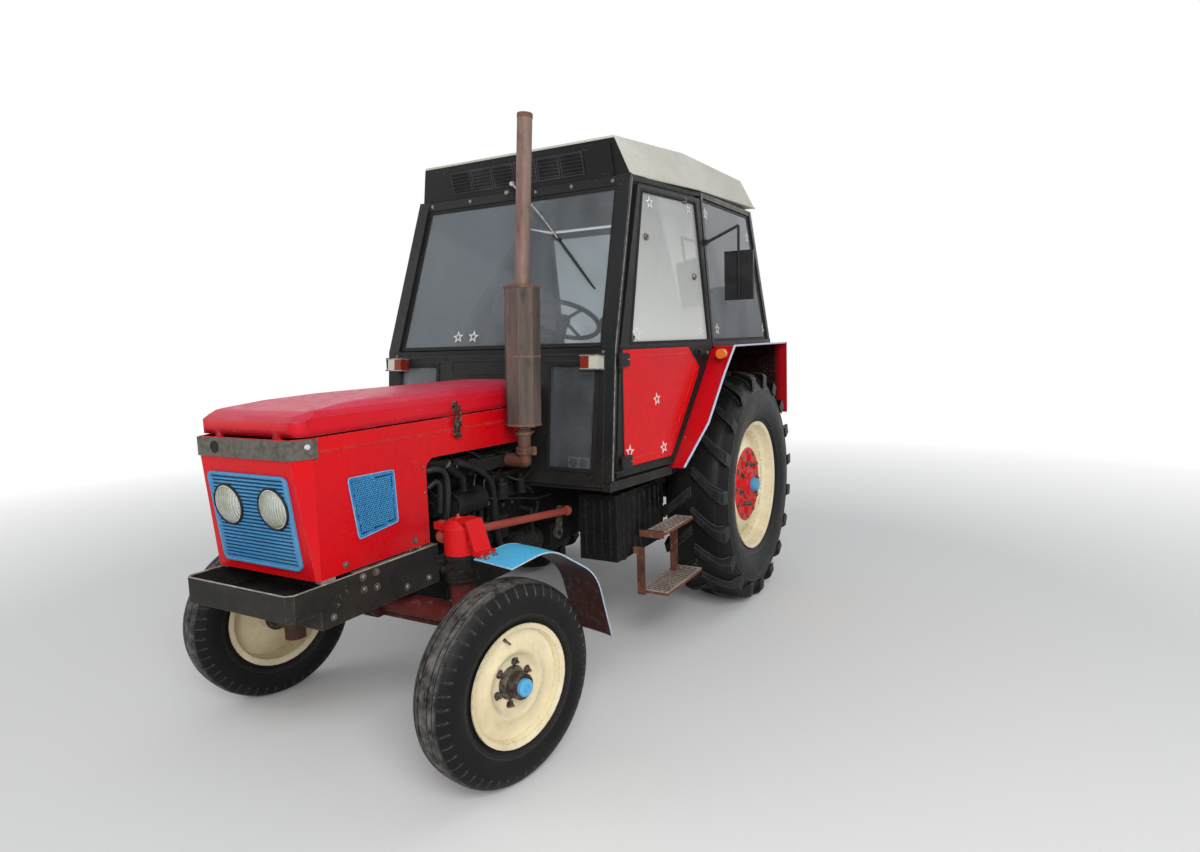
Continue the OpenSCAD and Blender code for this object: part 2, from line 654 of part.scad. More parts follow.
// Bonnet lid in the side view, drawn in by d
module lid_profile(d) {
    polygon([[-lid_front_y + d, lid_z - 1], [-lid_front_y - 12 + d, lid_z + 24],
        [-lid_front_y - 8 + d, lid_z + 50],
        [-lid_front_y + 12 + d * 0.7, lid_z + 68 - d * 0.5], [-lid_front_y + 60, lid_z + 80 - d],
        [-2480, lid_z + 98 - d], [-2260, hood_top_z - 4 - d], [-hood_rear_y, hood_top_z - d],
            [-hood_rear_y, lid_z - 1]]);
}
// Round corners of the lid in plan, and the slanting planes that take their top edge: [turn, lean, x, y, z]
lid_corner_r = 62;
lid_bevels = [[45, 52, 244, -2722, 1334], [18, 60, 200, -2738, 1346], [72, 46, 262, -2680, 1340]];
module lid_plan(d) {
    r = lid_corner_r;
    half = [for (a = [0:15:90]) [hood_hw - d - r + r * sin(a), -lid_front_y - 13 + d + r - r * cos(a)]];
    polygon(concat(half, [[hood_hw - d, -hood_rear_y], [-hood_hw + d, -hood_rear_y]],
        [for (i = [len(half) - 1:-1:0]) [-half[i].x, half[i].y]]));
}
// The lid as a solid, drawn in by d
module lid_body(d) {
    difference() {
        intersection() {
            front_plate(-nose_y - 40, -hood_rear_y - d) lid_section(d);
            side_plate(-hood_hw - 1, hood_hw + 1) lid_profile(d);
            translate([0, 0, lid_z - 60]) linear_extrude(300) lid_plan(d);
        }
        both_sides() for (c = lid_bevels) translate([c[2], c[3], c[4]]) rotate([-c[1], 0, c[0]])
            translate([-300, d - 600, -400]) cube([600, 600, 800]);
        block(-big, big, -big, big, lid_z - 50, lid_z - d);
    }
}
module hood_lid() placed() color("#dc3440") {
    difference() {
        lid_body(0);
        lid_body(sheet);
    }
    both_sides() difference() {
        union() {
            x_cyl(hinge_x - 10, hinge_x + 10, hood_hinge_y, hood_hinge_z, 11);
            block(hinge_x - 10, hinge_x + 10, hood_hinge_y + 3, hood_hinge_y + 11, hood_hinge_z,
                hood_hinge_z + 20);
            block(hinge_x - 10, hinge_x + 10, -lid_front_y - 1, hood_hinge_y + 11, lid_z + 2, lid_z + 14);
        }
        x_cyl(hinge_x - 11, hinge_x + 11, hood_hinge_y, hood_hinge_z, 5 + run_gap);
    }
}

// Exhaust stack

stack_r = 33;
muffler_r = 80;
muffler_foot = [357, -1610, 1210];
muffler_head = [369, -1597, 1810];
stack_top_z = 2545;
stack_top = [397, -1562, stack_top_z];
elbow_z = 1045;
module exhaust() placed() color("#6b4f44") {
    along = (muffler_head - muffler_foot) / norm(muffler_head - muffler_foot);
    rod(muffler_foot, muffler_head, muffler_r, 22.5, $fn = 8);
    rod(muffler_foot - along * 14, muffler_foot, muffler_r - 26);
    rod(muffler_head - along * 12, muffler_head + along * 12, muffler_r - 22);
    rod(muffler_head, stack_top, stack_r);
    pipe([[262.5, muffler_foot.y, elbow_z], [muffler_foot.x - 2, muffler_foot.y, elbow_z], muffler_foot], 30);
}

// Cab

// Places children in the plane of the door's wall: x is out, y runs back from the
// front corner and z is up from the window sill; upper walls lean inwards.
module door_wall(upper) {
    translate([cab_front_hw, -cab_front_y, belt_z]) rotate([0, 0, -door_splay])
        rotate([0, upper ? -window_lean : 0, 0]) children();
}

post_x = cab_front_hw + door_len * sin(door_splay);
post_y = -cab_front_y + door_len * cos(door_splay);
window_h = eave_z - belt_z;
top_in = window_h * tan(window_lean);
corner_top = [cab_front_hw - 35, -cab_front_y + 270, eave_z];
cab_toe = 62;
cab_rear_y = 590;
cab_rear_top_y = 385;
rear_top_x = post_x - top_in;
corner_w = 68;
corner_d = 30;
wall_t = 22;
fender_in_x = rear_x - rear_tyre_w / 2 - 59;

// A rail across the cab, hw to each side of the middle
module cross_rail(hw, y0, y1, z0, z1) block(-hw, hw, y0, y1, z0, z1);

module cab_frame() placed() color("#2b2c2b") {
    t = frame_t;
    cx = cab_front_hw - corner_w / 2;
    low_x = post_x - t / 2;
    high_x = rear_top_x - t / 2;
    corner = [cx, -cab_front_y - 10, belt_z];
    both_sides() {
        // front corner posts, below and above the window sill
        bar(corner - [4, cab_toe, belt_z - sill_z], corner, corner_w, corner_d);
        bar(corner - [0, 0, 4], corner_top - [corner_w / 2, 10, 0], corner_w, corner_d);
        // post behind the door
        bar([low_x, post_y - 4, belt_z - 18], [high_x, post_y - 4, eave_z - 3], t, 26);
        // rear corner post
        bar([low_x, cab_rear_y - 22, belt_z - 16], [high_x, cab_rear_top_y - 20, eave_z - 6], t, 40);
        // rails over the windows
        beam(corner_top - [t / 2, 14, 14], [high_x, post_y, eave_z - 14], t, 28, 2);
        beam([high_x, post_y - 10, eave_z - 16], [high_x, cab_rear_top_y, eave_z - 16], t - 2, 30);
        // sill under the rear side window
        block(post_x - t, post_x, post_y - 16, cab_rear_y, belt_z - 22, belt_z + 6);
        // sill under the door
        beam(sill_front, sill_rear, 50, 44);
        // hinge pins of the door on their brackets
        door_wall(false) for (row = hinge_rows) {
            translate([hinge_out, hinge_u, row.x - 40]) cylinder(r = 5, h = 70);
            block(row.z, hinge_out + 10, row.y, hinge_u + 8, row.x - 40, row.x - 32);
        }
    }
    // header and rail round the windscreen
    cross_rail(corner_top.x - 20, corner_top.y - 28, corner_top.y + 12, eave_z - 44, eave_z - 2);
    cross_rail(cab_front_hw - 20, -cab_front_y - 26, -cab_front_y + 6, belt_z - 44, belt_z - 2);
    // rear header and rail
    cross_rail(rear_top_x - 10, cab_rear_top_y - 40, cab_rear_top_y, eave_z - 44, eave_z - 4);
    cross_rail(post_x - 10, cab_rear_y - 40, cab_rear_y, belt_z - 22, belt_z + 6);
    // front wall with openings for the lower windows
    on_front_wall() front_plate(-wall_t, 0) difference() {
        union() {
            both_sides() translate([270, sill_z - 30])
                square([cab_front_hw - 50 - 270, belt_z - 30 - sill_z + 30]);
            translate([-272, sill_z - 30]) square([544, belt_z - 30 - sill_z + 30]);
        }
        both_sides() polygon(quarter_cut(0));
    }
    // rear wall between the fenders
    block(-fender_in_x, fender_in_x, cab_rear_y - 30, cab_rear_y - 8, deck_top_z - floor_t, belt_z - 20);
}

// Lower window of the front wall, drawn in by d
function quarter_cut(d) = [[345 + d, sill_z + 45 + d], [cab_front_hw - 104 - d, sill_z + 45 + d],
    [cab_front_hw - 90 - d, belt_z - 78 - d], [345 + d, belt_z - 78 - d]];

// The front wall leans out towards its foot; y = 0 is its inner face
module on_front_wall() {
    translate([0, -cab_front_y - 4, belt_z]) rotate([-atan(cab_toe / (belt_z - sill_z)), 0, 0])
        translate([0, 0, -belt_z]) children();
}

sill_front = [cab_front_hw - 36, -cab_front_y - 20 - cab_toe, sill_z - 24];
sill_rear = [cab_front_hw + 30, -cab_front_y + 450, sill_z - 24];
seat_step_y = -180;
module cab_floor() placed() color("#333331") {
    in = 25.5;
    hw = fender_in_x - 0.3;
    bottom = floor_top_z - floor_t;
    translate([0, 0, bottom]) linear_extrude(floor_t)
        polygon([[-sill_front.x + in, sill_front.y + 14], [sill_front.x - in, sill_front.y + 14],
            [sill_rear.x - in, sill_rear.y], [-sill_rear.x + in, sill_rear.y]]);
    block(-hw, hw, sill_rear.y - 1, seat_step_y, bottom, floor_top_z);
    block(-hw, hw, seat_step_y - floor_t, seat_step_y, bottom, deck_top_z);
    block(-hw, hw, seat_step_y - 1, cab_rear_y - 30, deck_top_z - floor_t, deck_top_z);
}

// Roof outline: [half-width, y, z]
roof_low = [[cab_front_hw - 44, -1060, eave_z + 0.3], [post_x - 58, -520, eave_z + 0.3],
    [post_x - 58, 455, eave_z + 30]];
roof_high = [[cab_front_hw - 110, -1104, roof_z - 24], [post_x - 152, -480, roof_z],
    [post_x - 126, 385, roof_z - 8]];
module roof_form(inset) {
    pts = [for (k = [0:2]) for (s = [-1, 1]) for (row = [roof_low, roof_high])
        [s * (row[k].x - inset), row[k].y + (k == 0 ? inset : k == 2 ? -inset : 0),
            row[k].z - (row == roof_high ? inset : -0)]];
    hull() for (p = pts) translate(p) cube(0.01, center = true);
}
module roof() placed() color("#e9e6da") difference() {
    roof_form(0);
    translate([0, 0, -30]) roof_form(26);
}

fascia_t = 12;
module roof_fascia() placed() color("#1b1b1c")
    translate([0, roof_low[0].y, roof_low[0].z])
        rotate([atan((roof_low[0].y - roof_high[0].y) / (roof_high[0].z - roof_low[0].z)), 0, 0])
            block(-roof_high[0].x + 20, roof_high[0].x - 20, -fascia_t - 0.3, -0.3, 4, 162);

screen_low_hw = cab_front_hw - corner_w - 1;
screen_high_hw = corner_top.x - corner_w + 1;
screen_rake = atan((cab_front_y + corner_top.y) / window_h);
screen_h = (eave_z - 46 - belt_z) / cos(screen_rake);
module windscreen() placed() color("#a9bcc0", 0.45) {
    translate([0, -cab_front_y, belt_z]) rotate([-screen_rake, 0, 0])
        front_plate(-glass_t / 2, glass_t / 2)
            polygon([[-screen_low_hw, 0], [screen_low_hw, 0], [screen_high_hw, screen_h],
                [-screen_high_hw, screen_h]]);
}

module side_windows() placed() color("#a9bcc0", 0.45) both_sides() {
    translate([post_x - 20, 0, belt_z]) rotate([0, -window_lean, 0]) side_plate(0, glass_t)
        polygon([[post_y + 9.3, 6.5], [cab_rear_y - 52, 6.5], [cab_rear_top_y - 46, window_h - 31],
            [post_y + 9.3, window_h - 31]]);
    on_front_wall() front_plate(-glass_t - 8, -8) polygon(quarter_cut(0.3));
}

module rear_window() placed() color("#a9bcc0", 0.45)
{
    rake = atan((cab_rear_y - cab_rear_top_y) / window_h);
    h = (eave_z - 44 - belt_z) / cos(rake);
    translate([0, cab_rear_y - 20, belt_z]) rotate([rake, 0, 0]) front_plate(-glass_t, 0)
        polygon([[-post_x + frame_t + 8, 8], [post_x - frame_t - 8, 8],
            [rear_top_x - frame_t - 8, h], [-rear_top_x + frame_t + 8, h]]);
}

// Rear fenders: lower end, gap to the tyre there and place of the outer edge
fender_end_z = 1060;
fender_clear = 34;
fender_out_x = post_x + 108;
slope_y = -552;
slope_z = rear_tyre_r + 692;
fender_rear_y = sqrt(pow(rear_tyre_r + fender_clear, 2) - pow(fender_end_z - rear_tyre_r, 2));
module rear_fenders() placed() color("#d21f24") both_sides() {
    t = 5;
    top = belt_z - 22;
    back = fender_rear_y;
    foot = rear_tyre_r + 235;
    outline = [[-862, foot], [-720, foot + 215], [slope_y, slope_z], [-420, top], [back - 5, top],
        [back, fender_end_z]];
    inner = [[back - t, fender_end_z], [back - 2 * t, top - t], [-418, top - t], [slope_y + 4, slope_z - 4],
        [-716, foot + 212], [-858, foot - 4]];
    difference() {
        side_plate(fender_in_x, fender_out_x) polygon(concat(outline, inner));
        // the front slope narrows downwards
        front_plate(-1000, -424) polygon([[fender_out_x + 1, top - 18], [fender_out_x - 25, top - 262],
            [fender_out_x - 45, foot + 200], [fender_out_x - 125, foot - 10], [fender_out_x - 125, foot - 90],
            [fender_out_x + 1, foot - 90]]);
    }
    side_plate(fender_in_x, fender_in_x + t)
        polygon([[-860, foot], [-718, foot + 213], [slope_y + 2, slope_z - 2], [-419, top - 1],
        [back - 4, top - 1], [back - 4, 1000], [420, 884], [-860, 884]]);
}

module dashboard() placed() color("#2a2a2b") {
    block(-250, 250, -cab_front_y - 3.7, -1130, 1300, belt_z - 44.3);
    block(-95, 95, -1140, -810, floor_top_z + 0.3, 1330);
    translate(wheel_centre) rotate([-wheel_tilt, 0, 0]) translate([0, 0, -430])
        cylinder(r = 30, h = 430 - 15.5);
}

// Steering wheel: tilt of its shaft and place of its hub
wheel_tilt = 30;
wheel_centre = [0, -670, 1690];
module steering_wheel() placed() color("#1d1d1d") translate(wheel_centre) rotate([-wheel_tilt, 0, 0]) {
    rotate_extrude() translate([205, 0]) circle(r = 13, $fn = 24);
    cylinder(r = 36, h = 30, center = true);
    for (a = [90, 210, 330]) rotate([0, 0, a]) translate([20, -8, -6]) cube([180, 16, 12]);
}

module seat() placed() color("#232325") {
    block(-230, 230, -420, 60, 1260, 1370);
    block(-220, 220, 60, 150, 1290, 1750);
    block(-140, 140, -170, 40, deck_top_z, 1260);
}

module controls() placed() color("#202020") {
    rod([130, -600, floor_top_z + 2.8], [190, -690, 1250], 8);
    translate([190, -690, 1250]) sphere(r = 24);
}

// Steps beside the tank: the upper one stands clear of the rear tyre
tank_x = 640;
step_front_y = -1100;
step_rear_y = -rear_tyre_r - 20;
step_low_z = 320;
step_high_z = 608;
step_t = 14;
module steps() placed() color("#5b4334") both_sides() {
    // treads
    block(660, 810, step_front_y, step_rear_y + 40, step_low_z, step_low_z + step_t);
    block(680, 780, step_front_y + 50, step_rear_y, step_high_z, step_high_z + step_t);
    // arms from the tank's side, a post between the treads and a hanger at the front
    block(tank_x + 0.3, 774, step_front_y + 37, step_front_y + 51, step_high_z - 15, step_high_z + 20);
    block(tank_x + 0.3, 760, step_rear_y - 60, step_rear_y - 46, step_high_z - 15, step_high_z + 1);
    block(672, 712, step_rear_y - 60, step_rear_y - 48, step_low_z, step_high_z + 1);
    block(660, 700, step_front_y - 30, step_front_y - 18, step_low_z, 524);
    block(tank_x + 0.3, 700, step_front_y - 30, step_front_y - 18, 524, 560);
    block(660, 700, step_front_y - 19, step_front_y + 1, step_low_z, step_low_z + step_t);
}

tank_top_z = 840;
module side_tanks() placed() color("#1d1d1d") both_sides() {
    block(436, tank_x, -1290, -770, 520, tank_top_z);
    for (y = [-1270, -850]) block(440, 600, y, y + 30, tank_top_z - 1, sill_z - 46);
}

mirror_z = eave_z - 270;
mirror_foot_x = rear_top_x + (eave_z - mirror_z) * tan(window_lean);
mirror_x = post_x + 128;
module mirrors() placed() color("#191919") both_sides() {
    head = [mirror_x, post_y + 46, mirror_z + 80];
    rod([mirror_foot_x + 6, post_y - 2, mirror_z], head, 8);
    block(mirror_foot_x + 1.2, mirror_foot_x + 14, post_y - 14, post_y + 6, mirror_z - 15, mirror_z + 15);
    rod(head, head - [0, 0, 365], 7);
    block(mirror_x - 83, mirror_x + 77, head.y + 6, head.y + 26, mirror_z - 310, mirror_z - 50);
}

module lamps() placed() color("#e07a2a") both_sides() {
    on_front_wall() block(545, 636, -wall_t - 60, -wall_t, belt_z - 102, belt_z - 44);
    block(840, 900, fender_rear_y - 2, fender_rear_y + 36, 1250, 1420);
    // marker lamps on the front slope of the rear fenders
    marker_z = belt_z - 60;
    marker_y = slope_y - (slope_y + 420) * (marker_z - slope_z) / (belt_z - 22 - slope_z);
    y_cyl(marker_y - 91, marker_y - 54, fender_out_x - 36, marker_z, 26);
    y_cyl(marker_y - 56, marker_y - 8.7, fender_out_x - 36, marker_z, 9);
}

// A point in front of the windscreen, at x and a distance below the eave
function on_screen(x, drop) = [x, -cab_front_y + (window_h - drop) * tan(screen_rake) - 17, eave_z - drop];
module wiper() placed() color("#17171a")
{
    pivot = [0, corner_top.y - 44, eave_z - 12];
    y_cyl(pivot.y - 4, corner_top.y - 28.3, 0, pivot.z, 11);
    rod(pivot, on_screen(300, 283), 4);
    beam(on_screen(170, 159), on_screen(505, 503), 9, 12);
}

module hitch_frame() placed() color("#242424") {
    // power take-off shaft
    y_cyl(190, 300, 0, 620, pto_d / 2);
    // bracket of the top link
    both_sides() difference() {
        block(22, 34, 190, 280, 780, 870);
        x_cyl(20, 36, 245, 830, 12.9);
    }
    // drawbar
    difference() {
        block(-35, 35, 190, 470, 380, 420);
        translate([0, 430, 370]) cylinder(d = drawbar_bore_d, h = 60);
    }
    block(-60, 60, 150, 220, 420, 470);
    // pins of the lower links and the brackets that carry them
    both_sides() {
        x_cyl(200, link_pin_x + 30, link_pin_y, link_pin_z, 14);
        block(196, 218, link_pin_y - 30, link_pin_y + 30, link_pin_z - 30, 470);
    }
}

arm_x = 208;
arm_t = 20;
lift_pin_r = 11;
eye_t = 18;
link_mid_x = link_pin_x + (link_ball_x - link_pin_x) * (lift_pin_at - 20) / (link_len - 40);
eye_low_x = link_mid_x - 14 - eye_t - 8;
module lower_links() placed() color("#3a3a3a") both_sides() difference() {
    union() {
        x_cyl(link_pin_x - 20, link_pin_x + 20, link_pin_y, link_pin_z, 34);
        beam([link_pin_x, link_pin_y + 20, link_pin_z], [link_ball_x, link_end_y - 20, link_pin_z], 20, 60);
        x_cyl(link_ball_x - 22, link_ball_x + 22, link_end_y, link_pin_z, link_end_r);
        x_cyl(eye_low_x - 6, link_mid_x, link_pin_y + lift_pin_at, link_pin_z, lift_pin_r);
    }
    x_cyl(link_pin_x - 21, link_pin_x + 21, link_pin_y, link_pin_z, 14 + run_gap);
    x_cyl(link_ball_x - 23, link_ball_x + 23, link_end_y, link_pin_z, link_bore_d / 2);
}

module lift_arms() placed() color("#3a3a3a") both_sides() {
    difference() {
        union() {
            x_cyl(arm_x - 2, arm_x + arm_t + 4, arm_pin_y, arm_pin_z, 48);
            block(arm_x, arm_x + arm_t, arm_pin_y, arm_pin_y + lift_pin_at, arm_pin_z - 22, arm_pin_z + 22);
            x_cyl(arm_x, arm_x + arm_t, arm_pin_y + lift_pin_at, arm_pin_z, 26);
            x_cyl(arm_x, arm_x + arm_t + eye_t + 12, arm_pin_y + lift_pin_at, arm_pin_z, lift_pin_r);
        }
        x_cyl(arm_x - 4, arm_x + arm_t + 6, arm_pin_y, arm_pin_z, 28 + run_gap);
    }
}

module lift_rods() placed() color("#3a3a3a") both_sides() {
    top = [arm_x + arm_t + 6 + eye_t / 2, arm_pin_y + lift_pin_at, arm_pin_z];
    low = [eye_low_x + eye_t / 2, link_pin_y + lift_pin_at, link_pin_z];
    dir = (low - top) / norm(low - top);
    difference() {
        union() {
            rod(top + dir * 20, low - dir * 20, 14);
            for (p = [top, low]) x_cyl(p.x - eye_t / 2, p.x + eye_t / 2, p.y, p.z, 26);
        }
        for (p = [top, low]) x_cyl(p.x - eye_t / 2 - 9, p.x + eye_t / 2 + 9, p.y, p.z, lift_pin_r + run_gap);
    }
}

module left_front_tyre() placed() front_wheel_at(1) front_tyre();
module left_front_rim() placed() front_wheel_at(1) front_rim();
module right_front_tyre() placed() front_wheel_at(-1) front_tyre();
module right_front_rim() placed() front_wheel_at(-1) front_rim();
module left_rear_tyre() placed() rear_tyre();
module left_rear_rim() placed() rear_rim();
module right_rear_tyre() placed() mirror([1, 0, 0]) rear_tyre();
module right_rear_rim() placed() mirror([1, 0, 0]) rear_rim();

// Door, drawn on its wall: [distance from the front corner, height from the window sill]
door_rear_u = door_len - 18 - door_gap;
door_bottom = sill_z - belt_z + 4 + door_gap;
door_low = [[20, 4], [-36, door_bottom], [458, door_bottom], [768, -172], [door_rear_u, -30],
    [door_rear_u, 4]];
door_high = [[20, -10], [door_rear_u, -10], [door_rear_u - 7, window_h - 39], [279, window_h - 39]];
glass_cut = [[97, 8], [door_rear_u - 16, 8], [door_rear_u - 48, window_h - 59], [304, window_h - 59]];
// Door hinges: [height from the window sill, front end and inner end of the bracket]
hinge_rows = [[-60, -26, -6], [sill_z - belt_z + 80, -74, 5]];
hinge_u = -12;
hinge_out = 22;
module door_frame() {
    difference() {
        union() {
            door_wall(false) side_plate(-frame_t, 0) polygon(door_low);
            intersection() {
                door_wall(true) side_plate(-frame_t, 0) polygon(door_high);
                translate([0, -big / 2, belt_z - 1]) cube(big);
            }
        }
        door_wall(true) side_plate(-frame_t - 1, 1) polygon(glass_cut);
    }
    // hinge eyes and leaves, and the outside handle
    door_wall(false) {
        for (row = hinge_rows) difference() {
            union() {
                translate([hinge_out, hinge_u, row.x - 31]) cylinder(r = 11, h = 60);
                block(12, 22, hinge_u, 64, row.x - 31, row.x + 29);
                block(-1, 14, 34, 64, row.x - 31, row.x + 29);
            }
            translate([hinge_out, hinge_u, row.x - 36]) cylinder(r = 5 + run_gap, h = 80);
        }
        block(-1, 24, 700, 760, -66, -36);
    }
}
module door_glass() door_wall(true) side_plate(-frame_t / 2, -frame_t / 2 + glass_t)
    polygon(glass_cut);

module left_door() placed() color("#b3181c") door_frame();
module right_door() placed() color("#b3181c") mirror([1, 0, 0]) door_frame();
module left_door_glass() placed() color("#a9bcc0", 0.45) door_glass();
module right_door_glass() placed() color("#a9bcc0", 0.45) mirror([1, 0, 0]) door_glass();

front_frame();
front_axle();
engine();
engine_fittings();
radiator();
transmission();
nose_shell();
grille();
headlamps();
side_meshes();
hood_trim();
exhaust();
cab_frame();
cab_floor();
roof();
roof_fascia();
windscreen();
side_windows();
rear_window();
rear_fenders();
dashboard();
seat();
controls();
steps();
side_tanks();
mirrors();
lamps();
wiper();
hitch_frame();
hood_lid();
left_door();
left_door_glass();
right_door();
right_door_glass();
steering_wheel();
left_knuckle();
left_front_fender();
right_knuckle();
right_front_fender();
track_rod();
drag_link();
pitman_arm();
left_front_tyre();
left_front_rim();
right_front_tyre();
right_front_rim();
left_rear_tyre();
left_rear_rim();
right_rear_tyre();
right_rear_rim();
lower_links();
lift_arms();
lift_rods();
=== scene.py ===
"""Looks of a two-wheel-drive farm tractor with a closed cab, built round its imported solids.

The front faces -Y, the tractor's left side is +X and the ground is z = 0. Shapes are drawn in
millimetres with y = 0 at the rear axle, as the part's source draws them, and Shape.piece() turns
them into metres in the frame.
"""

import math

import bmesh
import bpy
from mathutils import Matrix, Vector


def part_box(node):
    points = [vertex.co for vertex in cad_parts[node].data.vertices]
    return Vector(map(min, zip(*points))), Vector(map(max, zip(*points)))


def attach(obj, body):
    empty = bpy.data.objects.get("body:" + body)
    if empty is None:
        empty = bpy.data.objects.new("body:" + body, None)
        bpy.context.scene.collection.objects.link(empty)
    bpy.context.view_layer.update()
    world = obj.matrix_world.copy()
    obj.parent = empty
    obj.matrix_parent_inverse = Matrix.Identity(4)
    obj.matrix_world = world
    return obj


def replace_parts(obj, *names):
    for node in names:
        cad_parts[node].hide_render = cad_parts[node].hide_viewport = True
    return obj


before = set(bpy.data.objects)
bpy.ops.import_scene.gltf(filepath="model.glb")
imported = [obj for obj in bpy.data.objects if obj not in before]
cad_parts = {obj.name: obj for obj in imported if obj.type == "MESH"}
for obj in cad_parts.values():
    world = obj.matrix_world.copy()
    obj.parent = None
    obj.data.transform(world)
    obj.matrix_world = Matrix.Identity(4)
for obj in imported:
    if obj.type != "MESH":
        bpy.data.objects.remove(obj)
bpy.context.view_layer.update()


def middle(node):
    """Middle of a node's box, in metres in the frame."""
    low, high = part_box(node)
    return (low + high) / 2


MM = 0.001
AXLE_Y = middle("left_rear_tyre").y

# Sizes that the part's source names, in millimetres
REAR_X = 750
REAR_R = 680
KINGPIN = Vector((485, -2225, 0))
FRONT_R = 367
SPINDLE = 225
PARKED = math.radians(12)
NOSE_Y = -2748
NOSE_FOOT = 796
NOSE_LEAN = 53
BAND_LOW = 1212
NOSE_TILT = math.atan(NOSE_LEAN / (BAND_LOW - NOSE_FOOT))
HOOD_HW = 263
LAMP_X, LAMP_Z = 118, 1043
TRAY_HW = 275
CAB_HW = 690
CAB_Y = -1325
BELT = 1540
SILL = 930
EAVE = 2345
DOOR_LEN = 888
SPLAY = math.radians(8.2)
LEAN = math.radians(4.3)
POST_X = CAB_HW + DOOR_LEN * math.sin(SPLAY)
POST_Y = CAB_Y + DOOR_LEN * math.cos(SPLAY)
DOOR_END = DOOR_LEN - 26
WINDOW_H = EAVE - BELT
HEADER_Y = -1055
RAKE = math.atan((HEADER_Y - CAB_Y) / WINDOW_H)
WALL_DROP = 62
WALL_LEAN = math.atan(WALL_DROP / (BELT - SILL))
STACK_X, STACK_Y = 355, -1610

# Mirror strength of all but glass, since weathered surfaces hardly shine
DULL = 0.16


# Shader nodes


class Shader:
    """A material whose patterns follow the object's own coordinates, in metres."""

    def __init__(self, name, **constants):
        self.material = bpy.data.materials.new(name)
        self.material.use_nodes = True
        self.tree = self.material.node_tree
        self.surface = self.tree.nodes["Principled BSDF"]
        self.surface.inputs["Specular IOR Level"].default_value = DULL
        for socket, value in constants.items():
            self.surface.inputs[socket.replace("_", " ")].default_value = value
        coordinates = self.node("ShaderNodeTexCoord")
        self.place = coordinates.outputs["Object"]
        self.normal = coordinates.outputs["Normal"]

    def node(self, kind, inputs=None, **settings):
        """A node of the tree; inputs are plain values or sockets to link."""
        made = self.tree.nodes.new(kind)
        for key, value in settings.items():
            setattr(made, key, value)
        for socket, value in (inputs or {}).items():
            if isinstance(value, bpy.types.NodeSocket):
                self.tree.links.new(value, made.inputs[socket])
            else:
                made.inputs[socket].default_value = value
        return made

    def vector(self, operation, first, second=(0, 0, 0), output=0):
        return self.node("ShaderNodeVectorMath", {0: first, 1: second}, operation=operation).outputs[output]

    def math(self, operation, first, second=0.0):
        made = self.node("ShaderNodeMath", {0: first, 1: second}, operation=operation, use_clamp=True)
        return made.outputs[0]

    def noise(self, scale, detail=4.0, rough=0.55, stretch=(1, 1, 1)):
        """Noise round 0.5 that stands still on the object."""
        place = self.vector("MULTIPLY", self.place, stretch)
        made = self.node(
            "ShaderNodeTexNoise", {"Vector": place, "Scale": scale, "Detail": detail, "Roughness": rough}
        )
        return made.outputs["Fac"]

    def step(self, value, low, high, start=0.0, end=1.0):
        """start below low, end above high and a straight ramp between."""
        made = self.node(
            "ShaderNodeMapRange",
            {"Value": value, "From Min": low, "From Max": high, "To Min": start, "To Max": end},
        )
        return made.outputs["Result"]

    def mix(self, share, first, second):
        """The first colour where share is 0, the second where it is 1."""
        made = self.node("ShaderNodeMix", data_type="RGBA")
        for socket, value in ((0, share), (6, first), (7, second)):
            if isinstance(value, bpy.types.NodeSocket):
                self.tree.links.new(value, made.inputs[socket])
            else:
                made.inputs[socket].default_value = (*value, 1.0) if socket else value
        return made.outputs[2]

    def axis(self, name, source=None):
        """One coordinate of the place, or of another vector."""
        made = self.node("ShaderNodeSeparateXYZ", {0: source or self.place})
        return made.outputs[name]

    def edges(self, radius=0.004):
        """1 along sharp edges, 0 on flats."""
        soft = self.node("ShaderNodeBevel", {"Radius": radius}, samples=4).outputs["Normal"]
        true = self.node("ShaderNodeNewGeometry").outputs["True Normal"]
        facing = self.vector("DOT_PRODUCT", soft, true, output="Value")
        return self.step(facing, 0.985, 0.9)

    def radius(self, centre, direction):
        """Distance in metres from a line through centre."""
        arm = self.vector("SUBTRACT", self.place, centre)
        cross = self.vector("CROSS_PRODUCT", arm, direction)
        return self.vector("LENGTH", cross, output="Value")

    def outside(self, centre):
        """1 where the surface faces away from centre, 0 where it faces it."""
        arm = self.vector("SUBTRACT", self.place, centre)
        dot = self.vector("DOT_PRODUCT", arm, self.normal, output="Value")
        return self.step(dot, -0.004, 0.004)

    def finish(self, colour, rough, height, depth=0.001, strength=0.6, soft_edges=0.0):
        """Links colour, roughness and relief; soft_edges rounds sharp edges in the shading."""
        link = self.tree.links.new
        link(colour, self.surface.inputs["Base Color"])
        link(rough, self.surface.inputs["Roughness"])
        bump = self.node("ShaderNodeBump", {"Height": height, "Distance": depth, "Strength": strength})
        if soft_edges:
            bevel = self.node("ShaderNodeBevel", {"Radius": soft_edges}, samples=6)
            link(bevel.outputs["Normal"], bump.inputs["Normal"])
        link(bump.outputs["Normal"], self.surface.inputs["Normal"])
        return self.material

    def blend(self, share, first, second):
        """Shows the first surface where share is 0 and the second where it is 1."""
        both = self.node("ShaderNodeMixShader", {0: share, 1: first.outputs[0], 2: second.outputs[0]})
        self.tree.links.new(both.outputs[0], self.tree.nodes["Material Output"].inputs["Surface"])
        return self.material


# Materials: the numbers of paint are wear, dirt, the height dirt reaches, in metres, and roughness

DUST = (0.17, 0.135, 0.09)


def darker(tone, share):
    return tuple(c * share for c in tone)


